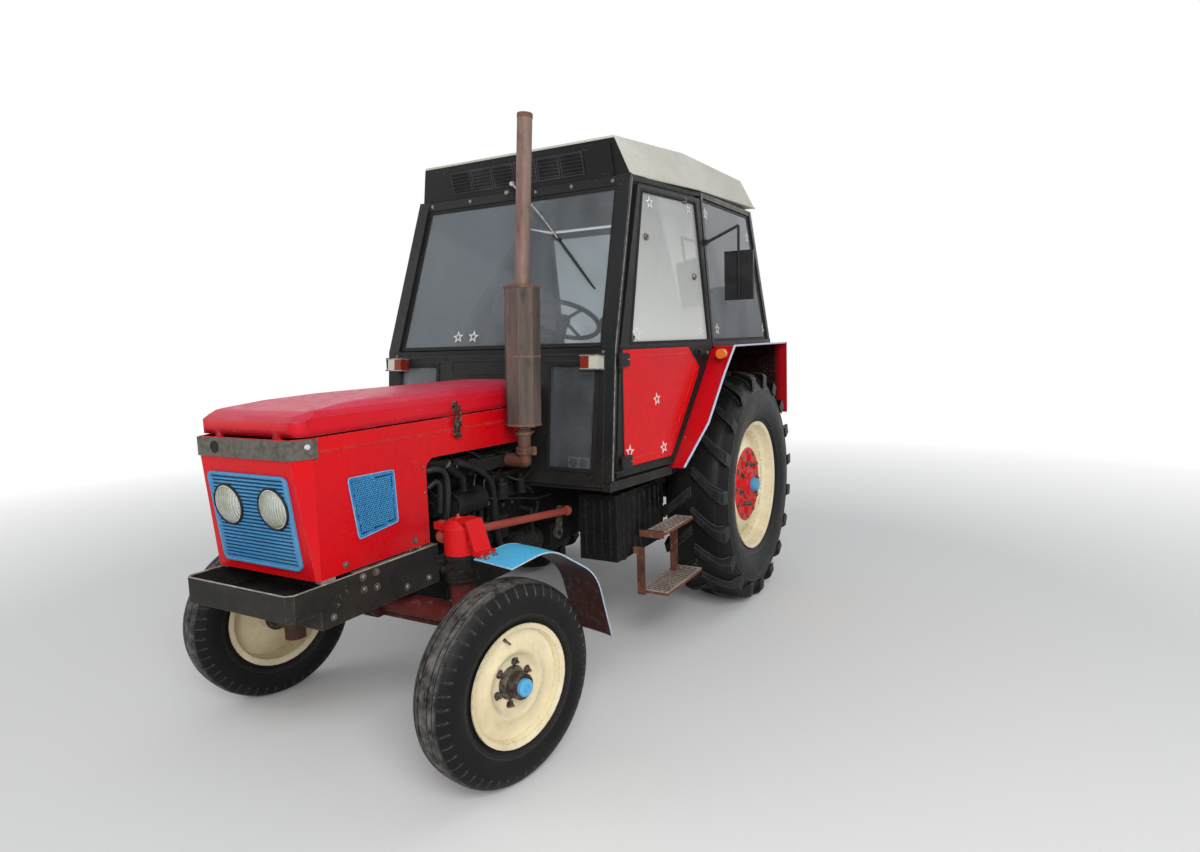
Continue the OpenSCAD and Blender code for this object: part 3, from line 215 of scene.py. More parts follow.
def paint(name, colour, faded, under, wear, dirt, dirt_top, gloss, zones=None, spotty=1.0, mottle=0.35,
          soft=0.0025):
    """Painted metal: broad fading, fine mottling, chips and worn edges that show what is under the
    paint, dust towards the ground. zones(shader, colour) may repaint parts of it before the wear."""
    s = Shader(name)
    broad, fine, chip = s.noise(1.7, 3), s.noise(34, 5), s.noise(85, 3, 0.6)
    tone = s.mix(s.step(broad, 0.38, 0.64), colour, faded)
    if zones:
        tone = zones(s, tone)
    tone = s.mix(s.step(fine, 0.5, 0.85, 0, mottle), tone, darker(colour, 0.55))
    edge = s.math("MULTIPLY", s.edges(), s.step(chip, 0.42, 0.6))
    spots = s.math("MULTIPLY", s.step(s.noise(6, 2), 0.57, 0.68, 0, spotty), s.step(chip, 0.62, 0.66))
    worn = s.math("MULTIPLY", s.math("MAXIMUM", edge, spots), wear)
    tone = s.mix(worn, tone, under)
    low = s.step(s.axis("Z"), dirt_top, 0.1)
    dusty = s.math("MULTIPLY", s.math("MULTIPLY", low, s.step(s.noise(9, 6), 0.36, 0.66)), dirt)
    tone = s.mix(dusty, tone, DUST)
    rough = s.math("ADD", s.step(fine, 0.3, 0.75, gloss, gloss + 0.18), s.math("MAXIMUM", worn, dusty))
    height = s.math("SUBTRACT", s.step(s.noise(240, 2), 0, 1, 0.4, 0.6), s.math("MULTIPLY", worn, 0.5))
    return s.finish(tone, rough, height, soft_edges=soft)


def rust(name, dark, mid, light, scale=26, metallic=0.0):
    """Rusty or scorched bare metal in three tones."""
    s = Shader(name, Metallic=metallic)
    broad, fine = s.noise(scale * 0.16, 4), s.noise(scale, 7, 0.65)
    tone = s.mix(s.step(broad, 0.38, 0.6), dark, mid)
    tone = s.mix(s.step(fine, 0.5, 0.68), tone, light)
    tone = s.mix(s.step(s.noise(scale * 4, 3), 0.6, 0.72, 0, 0.6), tone, darker(dark, 0.4))
    tone = s.mix(s.math("MULTIPLY", s.edges(), 0.4), tone, light)
    return s.finish(tone, s.step(fine, 0.35, 0.65, 0.6, 0.95), fine, 0.0025, 0.55, 0.002)


def grime(name, base, oil, light, scale, gloss):
    """Oily black castings: wet patches, dry dust and scraped edges."""
    s = Shader(name)
    broad, fine = s.noise(scale * 0.4, 4), s.noise(scale * 5, 6, 0.7)
    tone = s.mix(s.step(broad, 0.4, 0.6), base, oil)
    tone = s.mix(s.step(fine, 0.58, 0.78, 0, 0.8), tone, light)
    tone = s.mix(s.math("MULTIPLY", s.edges(0.005), s.step(fine, 0.4, 0.55)), tone, light)
    rough = s.step(broad, 0.42, 0.6, 0.85, gloss)
    return s.finish(tone, rough, fine, 0.003, 0.7, 0.003)


def plastic(name, colour, light, rough, scale):
    """Moulded plastic or hard rubber with a fine grain and a dusty bloom."""
    s = Shader(name)
    grain, bloom = s.noise(scale, 2), s.noise(7, 5)
    tone = s.mix(s.step(bloom, 0.42, 0.75, 0, 0.6), colour, light)
    tone = s.mix(s.math("MULTIPLY", s.edges(0.002), 0.35), tone, light)
    return s.finish(tone, s.step(bloom, 0.3, 0.7, rough, rough + 0.2), grain, 0.0006, 0.5, 0.0015)


def bare(name, colour, tarnish, rough=0.3, metallic=1.0):
    """Plated or bare steel with tarnish and fine scratches."""
    s = Shader(name, Metallic=metallic)
    spots, lines = s.noise(60, 5), s.noise(90, 3, 0.6, (1, 1, 12))
    tone = s.mix(s.step(spots, 0.46, 0.66), colour, tarnish)
    return s.finish(tone, s.step(spots, 0.35, 0.65, rough, rough + 0.35), lines, 0.0005, 0.4)


def rubber(name, tread, edge, centre, direction, radius, tread_depth):
    """Tyre rubber: scuffed, dusty tread, paler edges that are partly worn rubber and partly a painted
    highlight, and a smoother dark wall with fine rings.
    """
    s = Shader(name)
    reach = s.radius(centre, direction)
    outer = s.step(reach, radius - tread_depth, radius - tread_depth * 0.3)
    scuff, fine = s.noise(22, 6, 0.7), s.noise(150, 4, 0.7)
    worn = s.math("MULTIPLY", outer, s.step(scuff, 0.36, 0.66))
    tone = s.mix(worn, (0.0055, 0.0055, 0.006), tread)
    # Paler edges: worn rubber and a painted highlight along the lugs and shoulders
    tone = s.mix(s.math("MULTIPLY", s.edges(0.006), s.step(fine, 0.4, 0.6, 0.1, 0.7)), tone, edge)
    film = s.math("MULTIPLY", s.step(s.noise(5, 5), 0.42, 0.7), 0.03)
    tone = s.mix(film, tone, DUST)
    rings_per_metre = 90.0
    turns = s.node("ShaderNodeMath", {0: reach, 1: rings_per_metre}, operation="MULTIPLY").outputs[0]
    rings = s.node("ShaderNodeMath", {0: s.math("FRACT", turns), 1: 0.5}, operation="GREATER_THAN")
    height = s.math("ADD", s.math("MULTIPLY", fine, 0.7), s.math("MULTIPLY", rings.outputs[0], 0.12))
    rough = s.math("ADD", s.step(scuff, 0.3, 0.7, 0.38, 0.55), s.math("MULTIPLY", outer, 0.3))
    return s.finish(tone, rough, height, 0.002, 0.6, 0.003)


def glass(name, tint, haze, film, low, high, foot=0.0):
    """Window glass: clear with a film and a gloss that grows at grazing angles. A grey film is dirt; a pale
    film that foot makes denser towards the sill is a painted reflection of the sky, over the dirt."""
    s = Shader(name, Roughness=0.03, Specular_IOR_Level=0.5)
    smear = s.noise(3.2, 6, 0.6, (1, 1, 0.6))
    tone = s.mix(s.step(smear, 0.35, 0.7), film, darker(film, 0.8))
    s.tree.links.new(tone, s.surface.inputs["Base Color"])
    clear = s.node("ShaderNodeBsdfTransparent", {"Color": (*tint, 1)})
    fresnel = s.node("ShaderNodeFresnel", {"IOR": 1.45}).outputs[0]
    # Painted reflection: foot thickens the film towards the sill
    sill = s.step(s.axis("Z"), 2.2, 1.6, haze, haze + foot)
    dense = s.math("ADD", s.step(smear, 0.35, 0.75, low, high), sill)
    return s.blend(s.math("ADD", dense, fresnel), clear, s.surface)


RED = (0.68, 0.002, 0.004)
RED_FADED = (0.58, 0.003, 0.01)
BLUE = (0.032, 0.2, 0.43)
SKY = (0.065, 0.45, 0.74)
BLACK = (0.01, 0.0105, 0.011)
CREAM = (0.84, 0.75, 0.52)
CREAM_FADED = (0.77, 0.65, 0.41)
BROWN_RUST = (0.16, 0.07, 0.045)


def lid_zone(s, colour):
    """Sun-bleached top of the bonnet lid, with pale scuffs."""
    up = s.step(s.axis("Z", s.normal), 0.35, 0.9)
    pale = s.mix(s.step(s.noise(2.4, 6, 0.6), 0.4, 0.62), (0.56, 0.02, 0.055), (0.6, 0.06, 0.11))
    streaks = s.step(s.noise(30, 5, 0.7, (1, 0.25, 1)), 0.58, 0.72, 0, 0.3)
    return s.mix(up, s.mix(0.5, colour, (0.5, 0.006, 0.022)), s.mix(streaks, pale, (0.66, 0.2, 0.26)))


def tray_zone(s, colour):
    """Paint worn off along the top edge of the tray."""
    top = s.step(s.axis("Z"), 0.7835, 0.7845)
    return s.mix(s.math("MULTIPLY", top, s.step(s.noise(24, 4), 0.36, 0.5)), colour, (0.3, 0.24, 0.2))


def dark_inside(centre, tone):
    """A zone rule: tone where the surface faces centre."""
    return lambda s, colour: s.mix(s.outside(centre), tone, colour)


def fender_zone(s, colour):
    """Painted shade and shadow: a darker red where the sheet faces the tyre, and black on those faces
    underneath and towards the tyre; the outer stretch of the rear drop stays red.
    """
    shade = s.math("SUBTRACT", 1.0, s.outside(Vector((0, AXLE_Y, REAR_R * MM))))
    inner = s.step(s.math("ABSOLUTE", s.axis("X")), 0.89, 0.84)
    behind = s.step(s.axis("Y"), AXLE_Y + 0.57, AXLE_Y + 0.56)
    # Painted shadow: black on the inner faces under the fender top and towards the tyre
    dark = s.math("MULTIPLY", shade, s.math("MAXIMUM", inner, behind))
    return s.mix(dark, s.mix(shade, colour, (0.42, 0.004, 0.01)), (0.008, 0.006, 0.006))


def knuckle_zone(s, colour):
    """Red cap and strap; the spindle and the arms below are dark and rusty."""
    return s.mix(s.step(s.axis("Z"), 0.795, 0.8), (0.06, 0.025, 0.018), colour)


def wheel_zone(node, direction, bands):
    """A zone rule for a wheel: bands of (inner radius, outer radius, tone) about the wheel's axis."""

    def rule(s, colour):
        reach = s.radius(middle(node), direction)
        for inner, outer, tone in bands:
            beyond, within = s.step(reach, inner - 0.001, inner), s.step(reach, outer, outer - 0.001)
            colour = s.mix(s.math("MULTIPLY", beyond, within), colour, tone)
        return colour

    return rule


M = {
    # Red paint
    "red": paint("body_red", RED, RED_FADED, (0.36, 0.14, 0.12),
                 0.8, 0.2, 1.0, 0.2, spotty=0.45, mottle=0.12),
    "lid": paint("lid_red", RED, (0.66, 0.012, 0.025), (0.62, 0.3, 0.3),
                 0.6, 0, 0.9, 0.3, lid_zone, 0.6, 0.2, 0.03),
    "rear_fender": paint("fender_red", (0.56, 0.002, 0.008), (0.48, 0.002, 0.012), (0.2, 0.1, 0.08),
                         0.6, 0.3, 1.3, 0.26, fender_zone),
    "drag_link": paint("drag_link_red", (0.3, 0.05, 0.035), (0.36, 0.08, 0.055), (0.12, 0.06, 0.045),
                       0.9, 0.3, 1.1, 0.45),
    "cap_red": paint("cap_red", (0.6, 0.008, 0.01), (0.45, 0.012, 0.012), (0.5, 0.45, 0.42),
                     0.9, 0.2, 1.0, 0.35),
    "hub_red": paint("hub_red", (0.66, 0.006, 0.008), (0.55, 0.01, 0.01), (0.05, 0.02, 0.02),
                     0.9, 0.2, 1.0, 0.3),
    # Blue paint
    "blue": paint("trim_blue", BLUE, (0.09, 0.3, 0.52), (0.02, 0.05, 0.1), 0.6, 0.25, 1.1, 0.35),
    "rim_blue": paint("rim_blue", (0.045, 0.24, 0.48), (0.07, 0.29, 0.52), (0.3, 0.42, 0.55),
                      0.9, 0.1, 1.0, 0.4),
    "cap_blue": paint("cap_blue", (0.07, 0.36, 0.64), (0.12, 0.44, 0.7), (0.05, 0.06, 0.07),
                      0.9, 0.2, 1.0, 0.3),
    "mesh_blue": paint("mesh_blue", (0.03, 0.26, 0.58), (0.06, 0.34, 0.66), (0.2, 0.4, 0.6),
                       0.4, 0.1, 1.0, 0.3),
    "worn_blue": paint("mesh_rim", (0.28, 0.42, 0.56), (0.16, 0.36, 0.58), (0.55, 0.55, 0.55),
                       0.8, 0.1, 1.0, 0.4),
    "bead": paint("fender_bead", (0.3, 0.55, 0.7), (0.55, 0.55, 0.58), (0.05, 0.2, 0.32),
                  0.8, 0.1, 0.9, 0.4),
    "border": paint("border_white", (0.5, 0.6, 0.75), (0.6, 0.68, 0.78), (0.2, 0.3, 0.45),
                    0.8, 0.2, 1.1, 0.4),
    # Black and white paint
    "tray": paint("tray_black", (0.011, 0.0105, 0.0105), (0.02, 0.018, 0.017), (0.2, 0.16, 0.13),
                  0.9, 0.3, 1.0, 0.45, tray_zone),
    "cab": paint("cab_black", BLACK, (0.017, 0.018, 0.019), (0.13, 0.115, 0.1), 0.6, 0.4, 1.2, 0.36),
    "roof": paint("roof_white", (0.6, 0.585, 0.53), (0.5, 0.48, 0.41), (0.3, 0.26, 0.2), 0.6, 0, 0.9, 0.62),
    # Rust
    "axle": rust("axle_rust", (0.03, 0.01, 0.008), (0.1, 0.016, 0.013), (0.14, 0.07, 0.05)),
    "steel": rust("worn_steel", (0.035, 0.032, 0.03), (0.07, 0.06, 0.05), (0.2, 0.18, 0.16), 60, 0.4),
    "latch": rust("latch_rust", (0.014, 0.01, 0.009), (0.05, 0.024, 0.018), (0.34, 0.2, 0.16), 70, 0.3),
    "grating": rust("step_grating", (0.2, 0.15, 0.12), (0.32, 0.25, 0.21), (0.5, 0.43, 0.37), 60),
    "worn_edge": rust("tray_edge", (0.16, 0.14, 0.12), (0.32, 0.28, 0.24), (0.52, 0.47, 0.42), 30),
    "scorched": rust("exhaust_trim", (0.09, 0.05, 0.04), (0.17, 0.085, 0.06), (0.24, 0.14, 0.1), 50),
    # Bare and plated metal
    # Painted highlight along the cab's corner posts, made as grey metal
    "post_highlight": bare("post_highlight_grey", (0.2, 0.2, 0.19), (0.1, 0.09, 0.08), 0.45, 0.4),
    "lamp_trim": bare("lamp_trim", (0.4, 0.4, 0.39), (0.16, 0.15, 0.14), 0.4, 0.5),
    "band": bare("band_grey", (0.125, 0.115, 0.1), (0.09, 0.078, 0.066), 0.36, 0.45),
    "bolt": bare("bolt_steel", (0.24, 0.22, 0.2), (0.09, 0.06, 0.045), 0.38, 0.8),
    "nuts": bare("wheel_nuts", (0.16, 0.14, 0.13), (0.05, 0.03, 0.024), 0.35, 0.7),
    "chrome": bare("chrome", (0.8, 0.8, 0.8), (0.55, 0.54, 0.52), 0.08),
    "arm": bare("wiper_arm", (0.42, 0.42, 0.42), (0.22, 0.21, 0.2), 0.3),
    "mirror": bare("mirror_glass", (0.75, 0.77, 0.78), (0.6, 0.62, 0.63), 0.03),
    # Oily castings
    "grime": grime("engine_grime", (0.008, 0.0075, 0.007), (0.004, 0.004, 0.004), (0.045, 0.04, 0.035),
                   14, 0.35),
    "fittings": grime("fittings_grime", (0.014, 0.013, 0.012), (0.006, 0.006, 0.006), (0.07, 0.063, 0.056),
                      20, 0.25),
    "tank": grime("tank_black", (0.007, 0.007, 0.007), (0.004, 0.004, 0.004), (0.06, 0.045, 0.036),
                  8, 0.25),
    # Rubber, plastic and stickers
    "hose": plastic("hose_rubber", (0.012, 0.012, 0.013), (0.04, 0.04, 0.04), 0.3, 120),
    "seal": plastic("seal_rubber", (0.012, 0.012, 0.012), (0.03, 0.03, 0.03), 0.55, 180),
    "sipe": plastic("sipe_dust", (0.36, 0.345, 0.32), (0.5, 0.48, 0.44), 0.8, 60),
    "dash": plastic("dash_black", (0.02, 0.02, 0.022), (0.045, 0.045, 0.047), 0.4, 420),
    "mat": plastic("floor_mat", (0.022, 0.021, 0.02), (0.075, 0.062, 0.048), 0.7, 60),
    "vinyl": plastic("seat_vinyl", (0.016, 0.016, 0.018), (0.05, 0.05, 0.052), 0.42, 330),
    "mirror_case": plastic("mirror_black", (0.014, 0.014, 0.015), (0.04, 0.04, 0.042), 0.35, 300),
    "louvre": plastic("louvre_black", (0.03, 0.03, 0.031), (0.1, 0.1, 0.1), 0.4, 300),
    "gauge_marks": plastic("gauge_marks", (0.02, 0.02, 0.02), (0.3, 0.3, 0.28), 0.3, 30),
    "socket_white": plastic("socket_white", (0.62, 0.6, 0.52), (0.5, 0.42, 0.2), 0.4, 80),
    "star": plastic("sticker_white", (0.8, 0.8, 0.78), (0.66, 0.66, 0.64), 0.5, 60),
    # Glass
    "window": glass("window_glass", (0.78, 0.81, 0.82), 0.05, (0.4, 0.43, 0.46), 0.0, 0.2),
    # Door glass: the pale film, denser towards the sill, is a painted reflection of the sky over real dirt
    "door_glass": glass("door_glass", (0.74, 0.77, 0.77), 0.16, (0.78, 0.79, 0.76), 0.04, 0.3, 0.4),
}

FRONT_AXIS = Vector((math.cos(PARKED), -math.sin(PARKED), 0))
SIDE_AXIS = Vector((1, 0, 0))
SIDES = ((1, "left"), (-1, "right"))


def dress(material, *nodes):
    """Gives CAD nodes a finished material."""
    for name in nodes:
        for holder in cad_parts[name].material_slots:
            holder.material = material


def exhaust_material():
    """Scorched pipe over a dark muffler with vertical streaks."""
    s = Shader("exhaust_rust", Metallic=0.25)
    streak = (6, 6, 0.5)
    broad, fine = s.noise(2.2, 4, 0.6, streak), s.noise(40, 7, 0.65, (1, 1, 0.3))
    muffler = s.mix(s.step(broad, 0.4, 0.62), (0.075, 0.062, 0.052), (0.15, 0.105, 0.092))
    pipe = s.mix(s.step(broad, 0.38, 0.62), (0.165, 0.1, 0.082), (0.235, 0.16, 0.135))
    tone = s.mix(s.step(s.axis("Z"), 1.815, 1.83), muffler, pipe)
    hot = s.step(s.axis("Z"), 1.2, 1.1)
    tone = s.mix(hot, tone, (0.13, 0.055, 0.038))
    tone = s.mix(s.step(fine, 0.56, 0.74, 0, 0.75), tone, (0.05, 0.032, 0.026))
    tone = s.mix(s.math("MULTIPLY", s.edges(), s.step(fine, 0.4, 0.55)), tone, (0.3, 0.2, 0.16))
    return s.finish(tone, s.step(fine, 0.3, 0.7, 0.45, 0.8), fine, 0.0015, 0.5, 0.003)


def radiator_material():
    """Black core with fine upright fins."""
    s = Shader("radiator_black")
    fins = s.node("ShaderNodeTexWave", {"Vector": s.place, "Scale": 130.0}, bands_direction="Z")
    bars = fins.outputs["Fac"]
    tone = s.mix(bars, (0.008, 0.008, 0.008), (0.03, 0.03, 0.03))
    tone = s.mix(s.step(s.noise(9, 5), 0.5, 0.7, 0, 0.7), tone, DUST)
    return s.finish(tone, s.step(s.noise(30), 0.3, 0.7, 0.6, 0.9), bars, 0.002, 0.7)


def axle_material():
    """Dark red rusty beam; the drums at its ends are black."""
    s = Shader("front_axle")
    broad, fine = s.noise(5, 4), s.noise(30, 7, 0.65)
    tone = s.mix(s.step(broad, 0.38, 0.6), (0.03, 0.007, 0.006), (0.1, 0.012, 0.011))
    tone = s.mix(s.step(fine, 0.54, 0.7), tone, (0.12, 0.05, 0.038))
    drum = s.mix(s.step(fine, 0.5, 0.75), (0.007, 0.006, 0.006), (0.05, 0.032, 0.026))
    tone = s.mix(s.step(s.axis("Z"), 0.66, 0.7), tone, drum)
    tone = s.mix(s.math("MULTIPLY", s.edges(), 0.35), tone, (0.16, 0.09, 0.07))
    return s.finish(tone, s.step(fine, 0.35, 0.65, 0.45, 0.85), fine, 0.0025, 0.55, 0.002)


def step_material():
    """Rusty hangers; the plates under the gratings are nearly black, a painted shade for the gaps between the
    bars.
    """
    s = Shader("step_rust")
    broad, fine = s.noise(6, 4), s.noise(40, 7, 0.65)
    tone = s.mix(s.step(broad, 0.38, 0.6), (0.055, 0.026, 0.018), (0.17, 0.06, 0.036))
    tone = s.mix(s.step(fine, 0.5, 0.7, 0, 0.8), tone, (0.24, 0.14, 0.1))
    # Painted shade: faces turned up, the plates under the gratings, go nearly black
    up = s.step(s.axis("Z", s.normal), 0.5, 0.9)
    tone = s.mix(up, tone, (0.012, 0.01, 0.009))
    return s.finish(tone, s.step(fine, 0.35, 0.65, 0.6, 0.9), fine, 0.0025, 0.55, 0.002)


def mesh_plate_material():
    """Dark plate behind the expanded metal, with the blue rim round it."""
    s = Shader("mesh_backing")
    rim = s.step(s.math("ABSOLUTE", s.axis("X")), 0.26605, 0.2662)
    border = s.mix(s.step(s.noise(26, 5), 0.46, 0.66), (0.022, 0.17, 0.42), (0.07, 0.3, 0.56))
    tone = s.mix(rim, (0.006, 0.04, 0.1), border)
    return s.finish(tone, s.step(s.noise(40), 0.3, 0.7, 0.4, 0.7), s.noise(200), 0.0008, 0.5)


def lamp_material():
    """Housings of the small lamps, told apart by their place: red and white turn lamps in front, white
    and amber markers, red and amber tail lamps."""
    s = Shader("lamp_housing")
    white = s.step(s.math("ABSOLUTE", s.axis("X")), 0.5895, 0.591)
    turn = s.mix(white, (0.22, 0.022, 0.012), (0.56, 0.53, 0.45))
    marker = s.mix(s.step(s.axis("Y"), 0.31, 0.312), (0.72, 0.7, 0.64), (0.7, 0.17, 0.02))
    tail = s.mix(s.step(s.axis("Z"), 1.345, 1.347), (0.45, 0.01, 0.008), (0.7, 0.2, 0.02))
    behind = s.mix(s.step(s.axis("Y"), 1.0, 1.01), marker, tail)
    tone = s.mix(s.step(s.axis("Y"), 0.2, 0.21), turn, behind)
    ribs = s.node("ShaderNodeTexWave", {"Vector": s.place, "Scale": 60.0}).outputs["Fac"]
    return s.finish(tone, s.step(s.noise(30), 0.3, 0.7, 0.12, 0.3), ribs, 0.001, 0.4)


def wheel_materials(word):
    """Rubber and paint that follow the axles of one side's wheels."""
    front_node, rear_node = f"{word}_front_tyre", f"{word}_rear_tyre"
    front, rear = middle(front_node), middle(rear_node)
    front_bands = [(0.0475, 0.062, (0.05, 0.03, 0.024)), (-0.01, 0.047, (0.035, 0.022, 0.018))]
    rear_bands = [(0.037, 0.222, RED), (-0.01, 0.037, (0.08, 0.34, 0.62))]
    return {
        "front_tyre": rubber(f"front_tyre_{word}", (0.17, 0.16, 0.15), (0.13, 0.125, 0.12), front, FRONT_AXIS,
                             FRONT_R * MM, 0.012),
        "rear_tyre": rubber(f"rear_tyre_{word}", (0.026, 0.025, 0.024), (0.16, 0.155, 0.15), rear, SIDE_AXIS,
                            REAR_R * MM, 0.03),
        "front_rim": paint(f"front_rim_{word}", CREAM, CREAM_FADED, BROWN_RUST, 0.8, 0.25, 0.9, 0.36,
                           wheel_zone(front_node, FRONT_AXIS, front_bands)),
        "rear_rim": paint(f"rear_rim_{word}", CREAM, CREAM_FADED, BROWN_RUST, 0.7, 0.3, 0.9, 0.36,
                          wheel_zone(rear_node, SIDE_AXIS, rear_bands)),
        "knuckle": paint(f"knuckle_red_{word}", (0.62, 0.008, 0.01), (0.5, 0.012, 0.012), (0.2, 0.1, 0.08),
                         0.9, 0.3, 0.8, 0.3, knuckle_zone),
        "front_fender": paint(f"fender_blue_{word}", SKY, (0.09, 0.5, 0.78), (0.1, 0.07, 0.055), 0.6, 0.1,
                              0.9, 0.3, dark_inside(front, (0.05, 0.012, 0.008))),
    }


def dress_nodes():
    """Finished materials for the solids."""
    for material, nodes in (
        (M["tray"], "front_frame"),
        (axle_material(), "front_axle"),
        (M["axle"], "track_rod"),
        (M["drag_link"], "drag_link"),
        (M["grime"], "engine transmission"),
        (M["fittings"], "engine_fittings"),
        (radiator_material(), "radiator"),
        (M["red"], "nose_shell"),
        (M["lid"], "hood_lid"),
        (M["blue"], "grille"),
        (mesh_plate_material(), "side_meshes"),
        (M["band"], "hood_trim"),
        (exhaust_material(), "exhaust"),
        (M["cab"], "cab_frame roof_fascia left_door right_door hitch_frame"),
        (M["steel"], "lower_links lift_arms lift_rods pitman_arm"),
        (M["mat"], "cab_floor"),
        (M["roof"], "roof"),
        (M["window"], "windscreen side_windows rear_window"),
        (M["door_glass"], "left_door_glass right_door_glass"),
        (M["dash"], "dashboard steering_wheel controls wiper"),
        (M["rear_fender"], "rear_fenders"),
        (step_material(), "steps"),
        (M["tank"], "side_tanks"),
        (M["mirror_case"], "mirrors"),
        (lamp_material(), "lamps"),
    ):
        dress(material, *nodes.split())
    for _, word in SIDES:
        for what, material in wheel_materials(word).items():
            M[f"{word}_{what}"] = material
            dress(material, f"{word}_{what}")


# Mesh building


def facing(point, direction, up=Vector((0, 0, 1))):
    """Placement with local z along direction and local x level."""
    z = Vector(direction).normalized()
    x = up.cross(z)
    x = Vector((1, 0, 0)) if x.length < 1e-6 else x.normalized()
    turn = Matrix((x, z.cross(x), z)).transposed()
    return Matrix.Translation(point) @ turn.to_4x4()


def columns(x, y, z):
    """Placement with the given directions of its axes."""
    return Matrix((x, y, z)).transposed().to_4x4()


# Drawing planes: (right, up) and the way out of the paper
SIDE_VIEW = columns((0, 1, 0), (0, 0, 1), (1, 0, 0))
FRONT_VIEW = columns((1, 0, 0), (0, 0, 1), (0, -1, 0))
REAR_VIEW = columns((-1, 0, 0), (0, 0, 1), (0, 1, 0))


def out_of(place, axis=2):
    """Where one of a placement's axes points, z as a rule."""
    return place.to_3x3().col[axis].copy()


def move(x, y, z):
    return Matrix.Translation((x, y, z))


def on_nose():
    """The nose's leaning front wall; z = 0 is the lower edge of the grey band."""
    return move(0, NOSE_Y, BAND_LOW) @ Matrix.Rotation(NOSE_TILT, 4, "X") @ FRONT_VIEW


def down(z):
    """Height z of the part, measured along the nose's front wall."""
    return (z - BAND_LOW) / math.cos(NOSE_TILT)


def on_door(upper):
    """The left door's wall: right is back from the front corner, up is from the window sill."""
    wall = move(CAB_HW, CAB_Y, BELT) @ Matrix.Rotation(-SPLAY, 4, "Z")
    if upper:
        wall = wall @ Matrix.Rotation(-LEAN, 4, "Y")
    return wall @ SIDE_VIEW


def on_front_wall():
    """The cab's front wall below the windscreen: right is +X, up is z."""
    return move(0, CAB_Y - 4, BELT) @ Matrix.Rotation(-WALL_LEAN, 4, "X") @ move(0, 0, -BELT) @ FRONT_VIEW


def wheel(side, front):
    """A wheel's middle, with local x along its axle and outwards."""
    if front:
        hub = move(side * KINGPIN.x, KINGPIN.y, FRONT_R) @ Matrix.Rotation(-PARKED, 4, "Z")
        hub = hub @ move(side * SPINDLE, 0, 0)
    else:
        hub = move(side * REAR_X, 0, REAR_R)
    return hub @ Matrix.Diagonal((side, 1, 1, 1))


def around(radius, degrees):
    """A point on a circle about the origin."""
    a = math.radians(degrees)
    return radius * math.cos(a), radius * math.sin(a)


def rounded(x0, x1, y0, y1, r, steps=5):
    """Corner points of a rectangle with round corners, anticlockwise."""
    points = []
    left, right, low, high = x0 + r, x1 - r, y0 + r, y1 - r
    for cx, cy, start in ((right, low, -90), (right, high, 0), (left, high, 90), (left, low, 180)):
        for i in range(steps + 1):
            x, y = around(r, start + 90 * i / steps)
            points.append((cx + x, cy + y))
    return points


def inset(outline, d):
    """An anticlockwise outline drawn in by d."""
    result = []
    for i, corner in enumerate(outline):
        here = Vector(corner)
        before = (here - Vector(outline[i - 1])).normalized()
        after = (Vector(outline[(i + 1) % len(outline)]) - here).normalized()
        a, b = Vector((-before.y, before.x)), Vector((-after.y, after.x))
        result.append(tuple(here + (a + b) * (d / max(1 + a.dot(b), 0.3))))
    return result


def star_points(size, turn):
    """Five-pointed star about the origin, anticlockwise."""
    waist = 0.42
    return [around(size if i % 2 == 0 else size * waist, 90 + turn + 36 * i) for i in range(10)]


def smooth_path(points, per=6):
    """Points of a smooth curve through the given ones."""
    p = [Vector(q) for q in points]
    p = [2 * p[0] - p[1]] + p + [2 * p[-1] - p[-2]]
    result = []
    for i in range(1, len(p) - 2):
        for k in range(per):
            t = k / per
            result.append(0.5 * (2 * p[i] + (p[i + 1] - p[i - 1]) * t
                                 + (2 * p[i - 1] - 5 * p[i] + 4 * p[i + 1] - p[i + 2]) * t * t
                                 + (3 * p[i] - p[i - 1] - 3 * p[i + 1] + p[i + 2]) * t * t * t))
    return result + [p[-2]]


